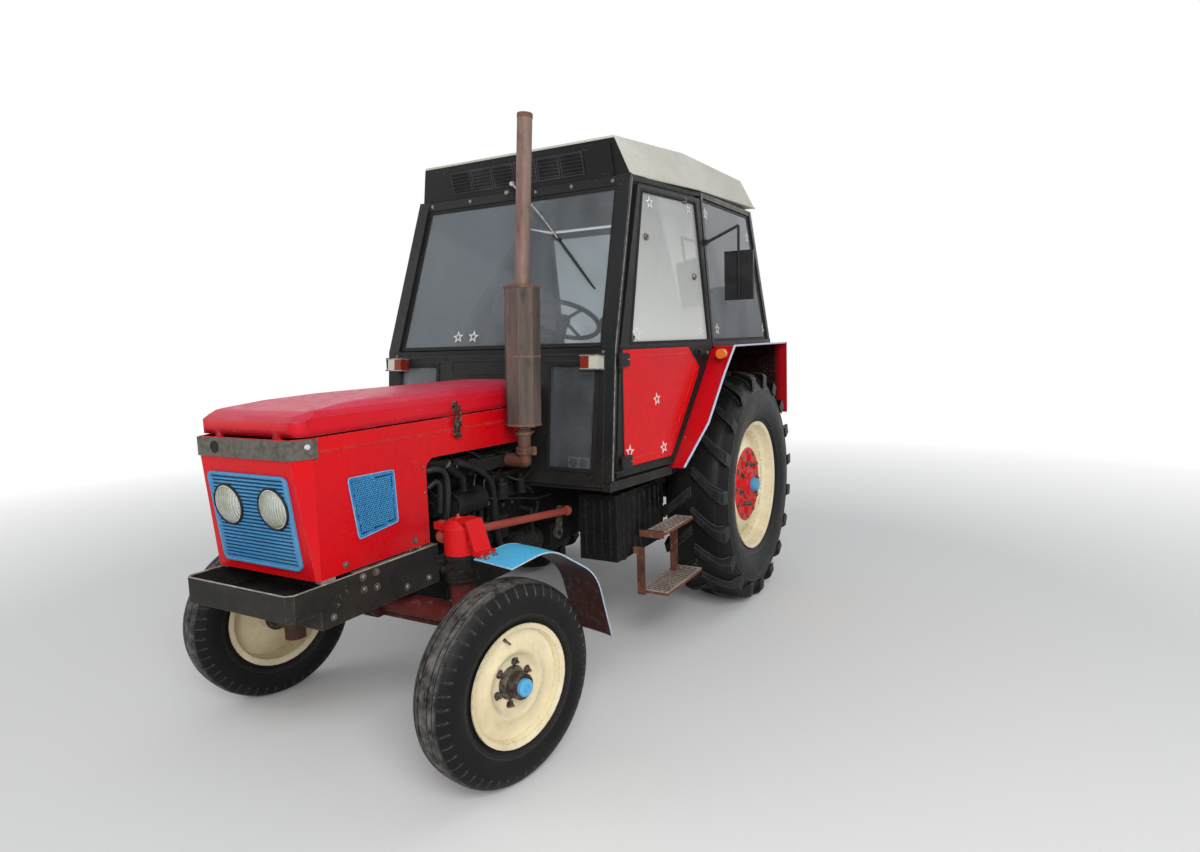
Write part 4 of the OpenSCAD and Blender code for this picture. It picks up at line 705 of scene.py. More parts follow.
class Shape:
    """Collects closed forms, in millimetres, into one mesh."""

    def __init__(self):
        self.verts, self.faces = [], []

    def add(self, verts, faces, place=Matrix()):
        base = len(self.verts)
        self.verts += [place @ Vector(v) for v in verts]
        self.faces += [[base + i for i in face] for face in faces]

    def prism(self, outline, low, high, place=Matrix(), taper=0.0):
        """An outline raised from low to high, drawn in by taper at the top."""
        n = len(outline)
        top = inset(outline, taper) if taper else outline
        verts = [(x, y, low) for x, y in outline] + [(x, y, high) for x, y in top]
        faces = [list(range(n))[::-1], list(range(n, 2 * n))]
        faces += [[i, (i + 1) % n, n + (i + 1) % n, n + i] for i in range(n)]
        self.add(verts, faces, place)

    def block(self, x0, x1, y0, y1, z0, z1, place=Matrix()):
        self.prism([(x0, y0), (x1, y0), (x1, y1), (x0, y1)], z0, z1, place)

    def ring(self, outer, inner, low, high, place=Matrix()):
        """A flat frame between two outlines of the same number of points."""
        n = len(outer)
        verts = [(*p, z) for z in (low, high) for line in (outer, inner) for p in line]
        faces = []
        for i in range(n):
            j = (i + 1) % n
            faces += [[i, j, n + j, n + i], [2 * n + i, 2 * n + j, 3 * n + j, 3 * n + i],
                      [i, j, 2 * n + j, 2 * n + i], [n + i, n + j, 3 * n + j, 3 * n + i]]
        self.add(verts, faces, place)

    def border(self, outline, width, low, high, place=Matrix()):
        """A flat frame along the inside of an outline."""
        self.ring(outline, inset(outline, width), low, high, place)

    def collar(self, inner, outer, half, place, steps):
        """A square ring about local z, as high as twice half."""
        corners = [(inner, -half), (outer, -half), (outer, half), (inner, half), (inner, -half)]
        self.turn(corners, place, steps)

    def turn(self, profile, place=Matrix(), steps=32):
        """Profile points (radius, height) turned about local z."""
        n = len(profile)
        verts = [(r * math.cos(math.tau * k / steps), r * math.sin(math.tau * k / steps), h)
                 for k in range(steps) for r, h in profile]
        faces = [[k * n + i, k * n + i + 1, (k + 1) % steps * n + i + 1, (k + 1) % steps * n + i]
                 for k in range(steps) for i in range(n - 1)]
        if profile[0] == profile[-1]:
            self.add(verts, faces, place)
            return
        faces += [[k * n for k in range(steps)], [k * n + n - 1 for k in range(steps)]]
        self.add(verts, faces, place)

    def tube(self, points, radius, sides=10, closed=False):
        """A round bar through points; radius is one value or one for each point."""
        points = [Vector(p) for p in points]
        n = len(points)
        verts, across = [], None
        for i, point in enumerate(points):
            ahead = points[(i + 1) % n] if closed or i < n - 1 else point
            behind = points[i - 1] if closed or i else point
            along = (ahead - behind).normalized()
            if across is None:
                across = along.cross(Vector((0, 0, 1)) if abs(along.z) < 0.9 else Vector((1, 0, 0)))
            across = (across - along * across.dot(along)).normalized()
            up = along.cross(across)
            r = radius[i] if isinstance(radius, list) else radius
            for k in range(sides):
                x, y = around(r, 360 * k / sides)
                verts.append(point + across * x + up * y)
        spans = n if closed else n - 1
        faces = [[i * sides + k, i * sides + (k + 1) % sides, (i + 1) % n * sides + (k + 1) % sides,
                  (i + 1) % n * sides + k] for i in range(spans) for k in range(sides)]
        if not closed:
            faces += [list(range(sides)), [(n - 1) * sides + k for k in range(sides)]]
        self.add(verts, faces)

    def bolt(self, point, direction, size=16, washer=True):
        """Hexagon head, with a washer as a rule; size is about its width."""
        place = facing(point, direction)
        if washer:
            self.turn([(size * 0.8, -2), (size * 0.8, size * 0.12), (0.01, size * 0.12)], place, 16)
        r = size * 0.56
        self.turn([(r, -1), (r, size * 0.46), (size * 0.47, r), (0.01, size * 0.58)], place, 6)

    def mirror(self):
        """Adds the same forms on the other side of the middle plane."""
        n = len(self.verts)
        self.verts += [Vector((-v.x, v.y, v.z)) for v in self.verts]
        self.faces += [[n + i for i in face[::-1]] for face in self.faces]
        return self

    def piece(self, name, material, body="root", flip=False, bevel=0.0, smooth=35):
        """Makes a piece of the scene from the forms, mirrored by flip, that rides on a body."""
        mesh = bpy.data.meshes.new(name)
        sign = -1 if flip else 1
        mesh.from_pydata([(sign * v.x * MM, v.y * MM + AXLE_Y, v.z * MM) for v in self.verts], [], self.faces)
        work = bmesh.new()
        work.from_mesh(mesh)
        bmesh.ops.remove_doubles(work, verts=work.verts, dist=1e-6)
        bmesh.ops.recalc_face_normals(work, faces=work.faces)
        work.to_mesh(mesh)
        work.free()
        mesh.polygons.foreach_set("use_smooth", [True] * len(mesh.polygons))
        mesh.set_sharp_from_angle(angle=math.radians(smooth))
        made = bpy.data.objects.new(name, mesh)
        bpy.context.scene.collection.objects.link(made)
        mesh.materials.append(M[material] if isinstance(material, str) else material)
        if bevel:
            rounding = made.modifiers.new("edges", "BEVEL")
            rounding.width, rounding.segments, rounding.limit_method = bevel * MM, 2, "ANGLE"
        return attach(made, body)


# Nose, bonnet and front frame


def lamp_lens_material():
    """Fluted lamp glass, half clear."""
    s = Shader("lamp_lens", Specular_IOR_Level=0.5)
    flutes = s.node("ShaderNodeTexWave", {"Vector": s.place, "Scale": 34.0}).outputs["Fac"]
    tone = s.mix(s.step(s.noise(16, 3), 0.4, 0.62), (0.86, 0.87, 0.84), (0.62, 0.64, 0.5))
    s.finish(tone, s.step(flutes, 0, 1, 0.05, 0.12), flutes, 0.003, 0.7)
    clear = s.node("ShaderNodeBsdfTransparent", {"Color": (0.9, 0.93, 0.88, 1)})
    share = s.math("ADD", s.step(flutes, 0.2, 0.9, 0.2, 0.5), s.node("ShaderNodeFresnel").outputs[0])
    return s.blend(share, clear, s.surface)


def headlamps():
    """Bowl, bulb and flange, dark ring and domed glass of both headlamps."""
    reflectors, rings, lenses = Shape(), Shape(), Shape()
    lens_r, dome_angle, dome_height = 68, 1.1, 22
    flat = math.cos(dome_angle)
    for x in (-LAMP_X, LAMP_X):
        place = on_nose() @ move(x, down(LAMP_Z), 0)
        bowl = [(60 * math.sin(t), -20 - 26 * math.cos(t)) for t in [i * math.pi / 20 for i in range(1, 11)]]
        reflectors.turn([(0.01, -47)] + bowl + [(62.5, -20), (62.5, -49), (0.01, -49)], place, 40)
        reflectors.turn([(9, -46), (9, -24), (6, -20), (0.01, -19)], place, 16)
        reflectors.turn([(57, -8), (70, 6), (70, 11), (66, 12), (57, -8)], place, 48)
        rings.turn([(69, 4), (76, 4), (76, 10), (72.5, 14), (69, 13), (69, 4)], place, 48)
        dome = []
        for i in range(10):
            t = dome_angle * (1 - i / 10)
            height = dome_height * (math.cos(t) - flat) / (1 - flat)
            dome.append((lens_r * math.sin(t) / math.sin(dome_angle), 10 + height))
        lenses.turn([(lens_r, 7)] + dome + [(0.01, 32)], place, 48)
    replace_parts(reflectors.piece("lamp_reflectors", "chrome"), "headlamps")
    rings.piece("lamp_rings", "seal")
    lenses.piece("lamp_glasses", lamp_lens_material())


def nose():
    """Bolts, fold line, rivets, badge, grille rim, lamps, expanded metal and toggle latches."""
    s = Shape()
    for y in (-2574, -2230):
        s.bolt((HOOD_HW, y, 824), (1, 0, 0), 15)
    for z in (860, 1000, 1100):
        s.bolt((HOOD_HW, -2166, z), (1, 0, 0), 9, washer=False)
    s.mirror().piece("nose_bolts", "bolt")

    s = Shape()
    fold = [(-2672, 1227), (-1445, 1219), (-1445, 1227), (-2672, 1235)]
    crease = [(-2670, 1230), (-1447, 1222), (-1447, 1224), (-2670, 1232)]
    s.ring(fold, crease, -0.5, 1.6, move(HOOD_HW, 0, 0) @ SIDE_VIEW)
    s.mirror().piece("panel_fold", "red", bevel=0.8)

    s = Shape()
    s.bolt((266.5, -2700, 1254), (0.93, -0.37, 0), 12)
    s.mirror().piece("band_rivets", "chrome")
    s = Shape()
    badge = move(-140, NOSE_Y - 6, 1246) @ FRONT_VIEW
    s.turn([(21, -1), (21, 2.5), (17, 3.5), (15, 1.6), (0.01, 1.2)], badge)
    s.piece("blank_badge", "seal")

    s = Shape()
    grille_hw, grille_low, grille_high = 205.7, 829, 1158
    plate = rounded(-grille_hw, grille_hw, down(grille_low) + 0.3, down(grille_high) - 0.3, 24)
    s.border(plate, 9, 6, 9.6, on_nose())
    s.piece("grille_rim", "rim_blue", bevel=1.2)

    headlamps()
    expanded_metal()
    latch()


MESH_CORNERS = [(-2543, 1122), (-2324, 1118), (-2315, 920), (-2508, 898)]


def inside(point, corners):
    """True inside a convex clockwise outline."""
    for i, a in enumerate(corners):
        b = corners[(i + 1) % len(corners)]
        if (b[0] - a[0]) * (point[1] - a[1]) - (b[1] - a[1]) * (point[0] - a[0]) > 0:
            return False
    return True


def lattice(s, corners, pitch_x, pitch_y, strand, low, high, place):
    """Expanded metal: rows of staggered diamonds cut to an outline."""
    xs, ys = [p[0] for p in corners], [p[1] for p in corners]
    row, y = 0, min(ys)
    while y < max(ys):
        x = min(xs) + (pitch_x / 2 if row % 2 else 0)
        while x < max(xs):
            for dx in (-1, 1):
                a, b = Vector((x, y)), Vector((x + dx * pitch_x / 2, y + pitch_y / 2))
                if inside(a, corners) and inside(b, corners):
                    side = (b - a).normalized() * (strand / 2)
                    across = Vector((-side.y, side.x))
                    ends = (a - side * 0.6, b + side * 0.6)
                    s.prism([ends[0] - across, ends[1] - across, ends[1] + across, ends[0] + across],
                            low, high, place)
            x += pitch_x
        y += pitch_y / 2
        row += 1


def expanded_metal():
    """Strands of the side meshes and the rim round them."""
    s = Shape()
    middle_y = sum(p[0] for p in MESH_CORNERS) / 4
    middle_z = sum(p[1] for p in MESH_CORNERS) / 4
    hole = [(y + (middle_y - y) * 0.12, z + (middle_z - z) * 0.12) for y, z in MESH_CORNERS]
    lattice(s, hole, 13, 15, 3.6, 1.6, 4.4, move(HOOD_HW, 0, 0) @ SIDE_VIEW)
    s.mirror().piece("side_mesh_strands", "mesh_blue")
    s = Shape()
    rim = []
    for i, corner in enumerate(MESH_CORNERS):
        here = Vector(corner)
        for other in (Vector(MESH_CORNERS[i - 1]), Vector(MESH_CORNERS[(i + 1) % 4])):
            rim.append(here + (other - here).normalized() * 12)
        rim.insert(len(rim) - 1, (rim[-1] + rim[-2]) / 2 * 0.5 + here * 0.5)
    s.tube([(HOOD_HW + 3.4, p.x, p.y) for p in rim], 2.2, 8, closed=True)
    s.mirror().piece("side_mesh_rims", "worn_blue")


def latch():
    """Toggle latch over the seam: lever, loop and base on the panel, keeper on the lid."""
    y = -1958
    s = Shape()
    plate = move(HOOD_HW, y, 0) @ SIDE_VIEW
    s.prism(rounded(-20, 20, 1200, 1268, 6, 3), 0, 4, plate)
    s.prism(rounded(-13, 13, 1206, 1278, 6, 3), 9, 15, plate, taper=2)
    for left in (-19, 15):
        s.block(left, left + 4, 1236, 1266, 0, 20, plate)
    s.prism(rounded(-18, 18, 1190, 1212, 5, 3), 6, 19, plate, taper=3)
    pivot_x, loop_x, loop_z = HOOD_HW + 12, HOOD_HW + 16, 1318
    s.turn([(5, -22), (5, 22), (0.01, 22)], facing((pivot_x, y, 1256), (0, 1, 0)), 12)
    for dy in (-13, 13):
        s.tube([(pivot_x, y + dy, 1254), (loop_x + 1, y + dy, 1286), (loop_x, y + dy, loop_z)], 3.6, 8)
    s.tube([(loop_x, y - 16, loop_z), (loop_x, y + 16, loop_z)], 4, 8)
    for z in (1208, 1226):
        for dy in (-16, 16):
            s.bolt((HOOD_HW + 4, y + dy, z), (1, 0, 0), 8, washer=False)
    s.mirror().piece("lid_latches", "latch", bevel=0.8)
    s = Shape()
    keeper = move(HOOD_HW - 3, y, 0) @ SIDE_VIEW
    s.prism(rounded(-17, 17, 1298, 1342, 6, 3), 0, 5, keeper)
    s.prism(rounded(-12, 12, 1303, 1312, 3, 2), 4, 26, keeper)
    for z in (1326, 1336):
        s.bolt((HOOD_HW + 2, y, z), (1, 0, 0), 9, washer=False)
    s.mirror().piece("latch_keepers", "latch", "hood_lid", bevel=0.8)


def front_frame():
    """Bolts and worn edge of the tray, the axle's pivot, bands and bolts of the kingpin drums."""
    s = Shape()
    for y, z in ((-2512, 764), (-2450, 765), (-2511, 717), (-2450, 709)):
        s.bolt((TRAY_HW, y, z), (1, 0, 0), 19)
    for y in (-2650, -2300, -2180):
        s.bolt((TRAY_HW, y, 664), (1, 0, 0), 17)
    s.mirror().piece("tray_bolts", "bolt")
    s = Shape()
    edge = [(TRAY_HW - 2.6, -2122), (TRAY_HW - 2.6, -2801), (TRAY_HW - 21, -2818.8)]
    s.tube([(x, y, 784.6) for x, y in edge] + [(-x, y, 784.6) for x, y in edge[::-1]], 3, 6)
    s.piece("tray_edge", "worn_edge")
    s = Shape()
    face_y, pivot_z, forward = -2280, 560, (0, -1, 0)
    s.turn([(46, 0), (46, 12), (30, 16), (30, 26), (0.01, 26)], facing((0, face_y, pivot_z), forward))
    s.bolt((0, face_y - 24, pivot_z), forward, 44)
    for x in (-70, 70):
        for z in (525, 597):
            s.bolt((x, face_y, z), forward, 17)
    s.piece("axle_pivot", "steel")
    s = Shape()
    for z in (706, 744, 790):
        s.collar(60.3, 63, 4, move(KINGPIN.x, KINGPIN.y, z), 40)
    s.bolt(KINGPIN + Vector((-50, -30, 740)), (-0.75, -0.66, 0), 34)
    greaser = facing(KINGPIN + Vector((-44, -40, 776)), (-0.7, -0.7, 0))
    s.turn([(9, 0), (9, 20), (5, 30), (0.01, 30)], greaser, 12)
    s.mirror().piece("axle_drums", "tank", bevel=0.5)


def knuckles():
    """Cap bolts, the strap's bolt and the greasers of both knuckles."""
    for side, word in SIDES:
        s = Shape()
        for i in range(6):
            x, y = around(1, 30 + 60 * i)
            s.bolt(KINGPIN + Vector((44 * x, 44 * y, 911)), (x / 2, y / 2, 1), 13)
        s.turn([(10, -2), (10, 8), (6, 12), (5, 20), (0.01, 22)], move(KINGPIN.x - 6, KINGPIN.y, 927), 12)
        s.bolt(KINGPIN + Vector((62 * 0.97, -62 * 0.2, 850)), (0.97, -0.2, 0), 15)
        s.piece(f"{word}_cap_bolts", "cap_red", f"{word}_knuckle", flip=side < 0, bevel=0.5)


# Engine


# Hoses and cables of the engine: radius, sides and the points each one runs through
ENGINE_HOSES = [
    (7, 10, [(150, -1890, 1105), (205, -1850, 1118), (225, -1780, 1085), (232, -1700, 1000),
             (238, -1650, 992)]),
    (6, 10, [(262, -1560, 930), (290, -1500, 900), (270, -1440, 860), (210, -1400, 850)]),
    (5, 10, [(262, -1620, 970), (300, -1580, 950), (310, -1500, 985), (260, -1440, 1010),
             (180, -1395, 1000)]),
    (6, 10, [(266, -1500, 690), (300, -1470, 760), (280, -1420, 820), (190, -1400, 840)]),
    (8, 10, [(60, -1900, 1190), (140, -1840, 1212), (190, -1700, 1190), (170, -1460, 1130)]),
    (15, 12, [(285, -1989, 1095), (285, -1850, 1039), (285, -1768, 963), (285, -1755, 834), (285, -1731, 700),
              (282, -1676, 642), (240, -1600, 620)]),
    (13, 12, [(200, -2160, 1060), (262, -2115, 1082), (262, -2052, 1065), (262, -2027, 1008),
              (262, -2041, 880), (240, -2060, 800)]),
    (11, 12, [(250, -2130, 1010), (266, -2098, 1030), (266, -2076, 1000), (262, -2080, 900)]),
    (4, 8, [(240, -1780, 910), (300, -1768, 898), (300, -1583, 866), (300, -1455, 838), (300, -1325, 836)]),
]


def engine():
    """Injector pipes, cover bolts, hoses, hose clamps, filler cap and filter bowls."""
    s = Shape()
    for i in range(4):
        y, port_y = -1850 + i * 55, -1880 + i * 110
        s.turn([(10, 0), (10, 14), (7, 17), (0.01, 17)], move(238, y, 860), 6)
        path = [(238, y, 874), (240, y - 10, 905), (215, y - 20 + i * 14, 960), (202, port_y, 1030),
                (160, port_y, 1100)]
        s.tube(smooth_path(path), 3.2, 8)
    for y in (-1880, -1660, -1440):
        s.bolt((0, y, 1190), (0, 0, 1), 15)
    s.piece("injector_pipes", "bolt")
    s = Shape()
    for y in range(-1930, -1509, 70):
        for x, z in ((200, 826), (175, 856), (190, 1050)):
            s.bolt((x, y, z), (1, 0, 0), 11 if x == 175 else 13)
        s.bolt((110, y, 1190), (0, 0, 1), 9, washer=False)
    s.mirror()
    for i in range(8):
        s.bolt((around(70, 45 * i)[0], -1984.6, 800 + around(150, 45 * i)[1]), (0, -1, 0), 12)
    s.piece("engine_bolts", "steel")
    s = Shape()
    for radius, sides, points in ENGINE_HOSES:
        s.tube(smooth_path(points), radius, sides)
    s.piece("engine_hoses", "hose")
    s = Shape()
    for point, along in (((205, -2440, 1120), (0.03, 1, 0)), ((225, -1990, 1085), (0.1, 0.75, -0.66))):
        s.collar(20.5, 22.5, 6, facing(point, along), 24)
    s.turn([(30, 0), (30, 14), (22, 20), (0.01, 20)], move(0, -1760, 1190), 20)
    s.piece("engine_clamps", "bolt")
    s = Shape()
    for y in (-1700, -1560):
        s.turn([(27, -70), (27, -4), (12, 4), (12, 16), (0.01, 16)], move(288, y, 960), 20)
    s.piece("filter_bowls", "fittings")


# Cab


DOOR_LOW = [(-36, -598), (458, -598), (768, -172), (DOOR_END, -30), (DOOR_END, 4), (20, 4)]
PANEL = [(26, -560), (430, -560), (700, -168), (720, -120), (610, -14), (34, -14)]
GLASS_CUT = [(97, 8), (DOOR_END - 16, 8), (DOOR_END - 48, WINDOW_H - 59), (304, WINDOW_H - 59)]
# Stickers: (back from the corner, up from the sill, size, turn) on the panel and on the glass
PANEL_STARS = [(304, -262, 33, 8), (66, -490, 36, -6), (357, -505, 34, 12)]
GLASS_STARS = [(376, 690, 34, 4), (172, 55, 40, -8), (740, 700, 26, 10), (765, 62, 32, -12)]


def stars(s, places, wall, out):
    """Star outlines on a wall, out of its face by the given distance."""
    for u, v, size, turn in places:
        s.border(star_points(size, turn), size * 0.16, 0, 1.2, wall @ move(u, v, out))


def doors():
    """Red panel, seals, handle, hinge bolts, window fittings and star stickers of each door."""
    low, up = on_door(False), on_door(True)
    handle_u, handle_v = 752, -51
    for side, word in SIDES:
        flip, body = side < 0, f"{word}_door"
        s = Shape()
        s.prism(PANEL, -1, 5, low, taper=4)
        s.ring(inset(PANEL, 34), inset(PANEL, 40), 4.5, 6, low)
        s.piece(f"{body}_panel", "red", body, flip, bevel=2)
        s = Shape()
        s.ring(inset(DOOR_LOW, -1), inset(DOOR_LOW, 9), -34, -24, low)
        s.ring(inset(GLASS_CUT, -1), inset(GLASS_CUT, 12), -15, 3, up)
        s.ring(inset(PANEL, -7), inset(PANEL, 1), -1, 3, low)
        s.piece(f"{body}_seals", "seal", body, flip, bevel=1.5)
        s = Shape()
        s.prism(rounded(690, 775, -72, -28, 14), -1, 5, low)
        s.prism(rounded(702, 760, -58, -44, 7), 22, 30, low, taper=2)
        s.turn([(11, 4), (11, 28), (8, 32), (0.01, 32)], low @ move(handle_u, handle_v, 0), 20)
        s.turn([(8, 3), (8, 8), (0.01, 8)], low @ move(704, handle_v, 0), 16)
        s.piece(f"{body}_handle", "dash", body, flip, bevel=1)
        s = Shape()
        for v in (-60, SILL - BELT + 80):
            for u in (44, 56):
                s.bolt(low @ Vector((u, v, 22)), out_of(low), 8, washer=False)
        s.turn([(7, 0), (7, 34), (9, 36), (9, 40), (0.01, 41)], low @ move(handle_u, handle_v, -1), 12)
        for u, v in ((320, 521), (705, 740), (744, 349), (130, 40)):
            s.turn([(17, -14), (17, -4), (12, 2), (0.01, 3)], up @ move(u, v, 0), 20)
            s.bolt(up @ Vector((u, v, 2)), out_of(up), 9, washer=False)
        s.piece(f"{body}_fittings", "bolt", body, flip)
        s = Shape()
        stars(s, PANEL_STARS, low, 5)
        stars(s, GLASS_STARS, up, -10)
        s.piece(f"{body}_stars", "star", body, flip, smooth=20)


def window_seals(screen, side):
    """Rubber round the windscreen, the quarter windows and the rear side windows."""
    s = Shape()
    glass_h = (EAVE - 46 - BELT) / math.cos(RAKE)
    s.border([(-621, 0), (621, 0), (588, glass_h), (-588, glass_h)], 20, -6, 8, screen)
    quarter = [(345, SILL + 45), (CAB_HW - 104, SILL + 45), (CAB_HW - 90, BELT - 78), (345, BELT - 78)]
    for x in (1, -1):
        corners = [(x * a, b) for a, b in quarter][::x]
        s.ring(inset(corners, -12), inset(corners, 7), 19, 27, on_front_wall())
    pane_front, pane_top = POST_Y + 9, WINDOW_H - 31
    half = Shape()
    half.border([(pane_front, 6), (538, 6), (339, pane_top), (pane_front, pane_top)], 15, -2, 10, side)
    half.mirror()
    s.add(half.verts, half.faces)
    s.piece("window_seals", "seal", bevel=1.5)


def fascia():
    """Louvres and the front plate of the roof's fascia."""
    louvres = Shape()
    tilt = math.atan(44 / 181)
    face = move(0, HEADER_Y - 5, EAVE + 0.3) @ Matrix.Rotation(tilt, 4, "X") @ FRONT_VIEW
    for column in range(6):
        left = -408 + column * 137
        louvres.border([(left, 30), (left + 130, 30), (left + 130, 140), (left, 140)], 6, 12, 18, face)
        for row in range(6):
            slat = face @ move(left + 65, 40 + row * 17, 13) @ Matrix.Rotation(math.radians(38), 4, "X")
            louvres.block(-60, 60, -1.5, 11, 0, 2.5, slat)
    louvres.piece("fascia_louvres", "louvre", bevel=0.6)
    s = Shape()
    s.prism([(-643, 3), (643, 3), (584, 176), (-584, 176)], 0.2, 2, face)
    s.piece("roof_front", "cab")


def cab():
    """Seals, header bolts, louvres, grey strips that paint the highlight on the corner posts, front wall
    panels and stickers.
    """
    screen = move(0, CAB_Y, BELT) @ Matrix.Rotation(-RAKE, 4, "X") @ FRONT_VIEW
    side = move(POST_X - 20, 0, BELT) @ Matrix.Rotation(-LEAN, 4, "Y") @ SIDE_VIEW
    wall = on_front_wall()
    window_seals(screen, side)

    s = Shape()
    for x in (-560, -300, 120, 330, 560):
        s.bolt((x, -1084, EAVE - 22), (0, -1, 0), 12)
    for x in (-630.4, 630.4):
        s.bolt((x, CAB_Y - 26, BELT - 24), (0, -1, 0), 12)
    s.turn([(9, 0), (9, 16), (12, 18), (12, 30), (0.01, 34)], facing((-30, -1100, EAVE - 12), (0, -1, 0)), 16)
    s.piece("header_bolts", "bolt")

    fascia()

    # Painted highlight: thin grey bars along the cab's corner posts
    s = Shape()
    for x in (1, -1):
        low = Vector((x * (CAB_HW - 2), CAB_Y - 18 - WALL_DROP, SILL + 8))
        knee = Vector((x * (CAB_HW - 1), CAB_Y - 18, BELT))
        top = Vector((x * (CAB_HW - 36), HEADER_Y - 7, EAVE - 8))
        for a, b in ((low, knee), (knee, top)):
            s.tube([a, b], 4, 8)
    s.piece("corner_post_highlights", "post_highlight")

    s = Shape()
    for x0, x1 in ((290, 636), (-636, -290)):
        inner = rounded(x0 + 6, x1 - 6, BELT - 60, BELT - 40, 4)
        s.ring(rounded(x0, x1, BELT - 66, BELT - 34, 6), inner, 20, 25, wall)
    s.border(rounded(-255, 255, 1415, BELT - 52, 16), 7, 20, 25, wall)
    s.piece("front_wall_folds", "cab", bevel=1.2)

    s = Shape()
    for x, turn in ((-244, 6), (-146, -5)):
        s.border(star_points(34, turn), 5.5, 3.3, 4.4, screen @ move(x, 70, 0))
    for u, v in ((-344, 72), (500, 78), (-384, 700), (306, 640)):
        s.border(star_points(36, u / 90), 5.5, 6.3, 7.4, side @ move(u, v, 0))
    s.piece("window_stars", "star", smooth=20)

    s = Shape()
    for low in (BELT - 46, BELT - 106):
        s.block(541, 640, low, low + 5, -2, 62, wall @ move(0, 0, 22))
    s.mirror().piece("turn_lamp_trim", "lamp_trim", bevel=1.5)


def fenders():
    """Pale borders along the edges of the rear fenders, and the bolts on them."""
    s = Shape()
    out, top, low, back = POST_X + 108, BELT - 22, REAR_R + 235, 600
    edge = [(out - 120, -860, low), (out - 40, -720, low + 215), (out - 13, -552, REAR_R + 692),
            (out, -420, top)]
    off = Vector((2, -3, 3))
    for a, b in zip(edge, edge[1:]):
        s.tube([Vector(a) + off, Vector(b) + off], 6, 8)
    s.tube([(out - 2, -424, top + 1), (out - 2, back - 2, top + 1)], 5, 8)
    s.mirror().piece("fender_borders", "border")
    s = Shape()
    for y, z in ((-644, 1246), (-764, 1056)):
        s.bolt((out - 150, y, z), (0, -0.85, 0.5), 12)
    for y in (-250, 50, 350):
        s.bolt((out - 60, y, top), (0, 0, 1), 12)
    s.mirror().piece("fender_bolts", "bolt")


# Middle line of the sheet over a front wheel: (forward, up) from the axle
FENDER_ROWS = [(-40, 443), (150, 472), (390, 318), (468, 45)]


def bent(points, reach):
    """Rows with their inner corners rounded, starting reach before each."""
    result = [Vector(points[0])]
    for before, corner, after in zip(points, points[1:], points[2:]):
        b, c, a = Vector(before), Vector(corner), Vector(after)
        start, end = c + (b - c).normalized() * reach, c + (a - c).normalized() * reach
        for i in range(9):
            t = i / 8
            result.append(start * (1 - t) ** 2 + c * 2 * t * (1 - t) + end * t * t)
    return result + [Vector(points[-1])]


def fender_sheet(rows):
    """Points and faces of the rolled sheet: its top skin, the skin below and the edges between."""
    across = range(-100, 101, 25)
    n, w = len(rows), len(across)
    verts = [(x, row.x - back, row.y - drop - 3 * (x / 100) ** 2)
             for back, drop in ((0, 0), (2.5, 4.5)) for row in rows for x in across]
    faces = []
    for i in range(n - 1):
        for a in range(i * w, i * w + w - 1):
            for skin in (a, n * w + a):
                faces.append([skin, skin + 1, skin + w + 1, skin + w])
        for a in (i * w, i * w + w - 1):
            faces.append([a, a + w, n * w + a + w, n * w + a])
    for first in (0, (n - 1) * w):
        for a in range(first, first + w - 1):
            faces.append([a, a + 1, n * w + a + 1, n * w + a])
    return verts, faces


def front_fenders():
    """Rolled sheet over each front wheel, with beaded edges and the bolts of its strap."""
    for side, word in SIDES:
        hub, body = wheel(side, True), f"{word}_knuckle"
        rows = bent(FENDER_ROWS, 78)
        s = Shape()
        s.add(*fender_sheet(rows), hub)
        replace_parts(s.piece(f"{word}_fender_sheet", f"{word}_front_fender", body), f"{word}_front_fender")
        s = Shape()
        for x in (-99, 99):
            s.tube([hub @ Vector((x, row.x, row.y - 5)) for row in rows], 3.2, 8)
        for row in (rows[0], rows[-1]):
            s.tube([hub @ Vector((x, row.x, row.y - 4)) for x in (-99, 99)], 3.2, 8)
        s.piece(f"{word}_fender_bead", "bead", body)
        s = Shape()
        up = hub.to_3x3() @ Vector((0, -0.15, 1))
        for x in (-78, -50):
            for y in (-22, 16):
                s.bolt(hub @ Vector((x, y, 443 + (y + 40) * 0.1526)), up, 13)
        s.piece(f"{word}_fender_bolts", "bolt", body)


def roof():
    """Rain lip of the roof."""
    s = Shape()
    lip = [(POST_X - 56, -516, EAVE + 1), (POST_X - 56, 452, EAVE + 31)]
    front = (CAB_HW - 42, -1058, EAVE + 1)
    s.tube([front, lip[0], lip[1]], 5, 8)
    s.mirror().piece("roof_lip", "roof")


def wiper():
    """Bright arm from the header and the black blade on the glass."""
    s = Shape()
    foot, wrist = (-5, -1112, 2374), (310, -1185, 2060)
    path = [foot, (60, -1126, 2315), (170, -1137, 2205), wrist]
    s.tube(smooth_path(path, 4), [6] * 4 + [5] * 5 + [4] * 4, 8)
    s.turn([(15, -30), (15, 2), (11, 8), (0.01, 10)], facing(foot, (0, -1, 0)), 20)
    s.piece("wiper_arm", "arm")
    s = Shape()
    a, b = Vector((235, -1152, 2136)), Vector((540, -1260, 1812))
    s.tube([a + (b - a) * t for t in (0, 0.1, 0.5, 0.9, 1)], [3, 6, 8, 6, 3], 8)
    into = Vector((0, math.cos(RAKE), -math.sin(RAKE)))
    s.tube([a + into * 9, b + into * 9], 4, 6)
    s.turn([(9, -9), (9, 9), (0.01, 9)], facing((310, -1183, 2060), (0, -1, 0)), 12)
    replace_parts(s.piece("wiper_blade", "hose"), "wiper")


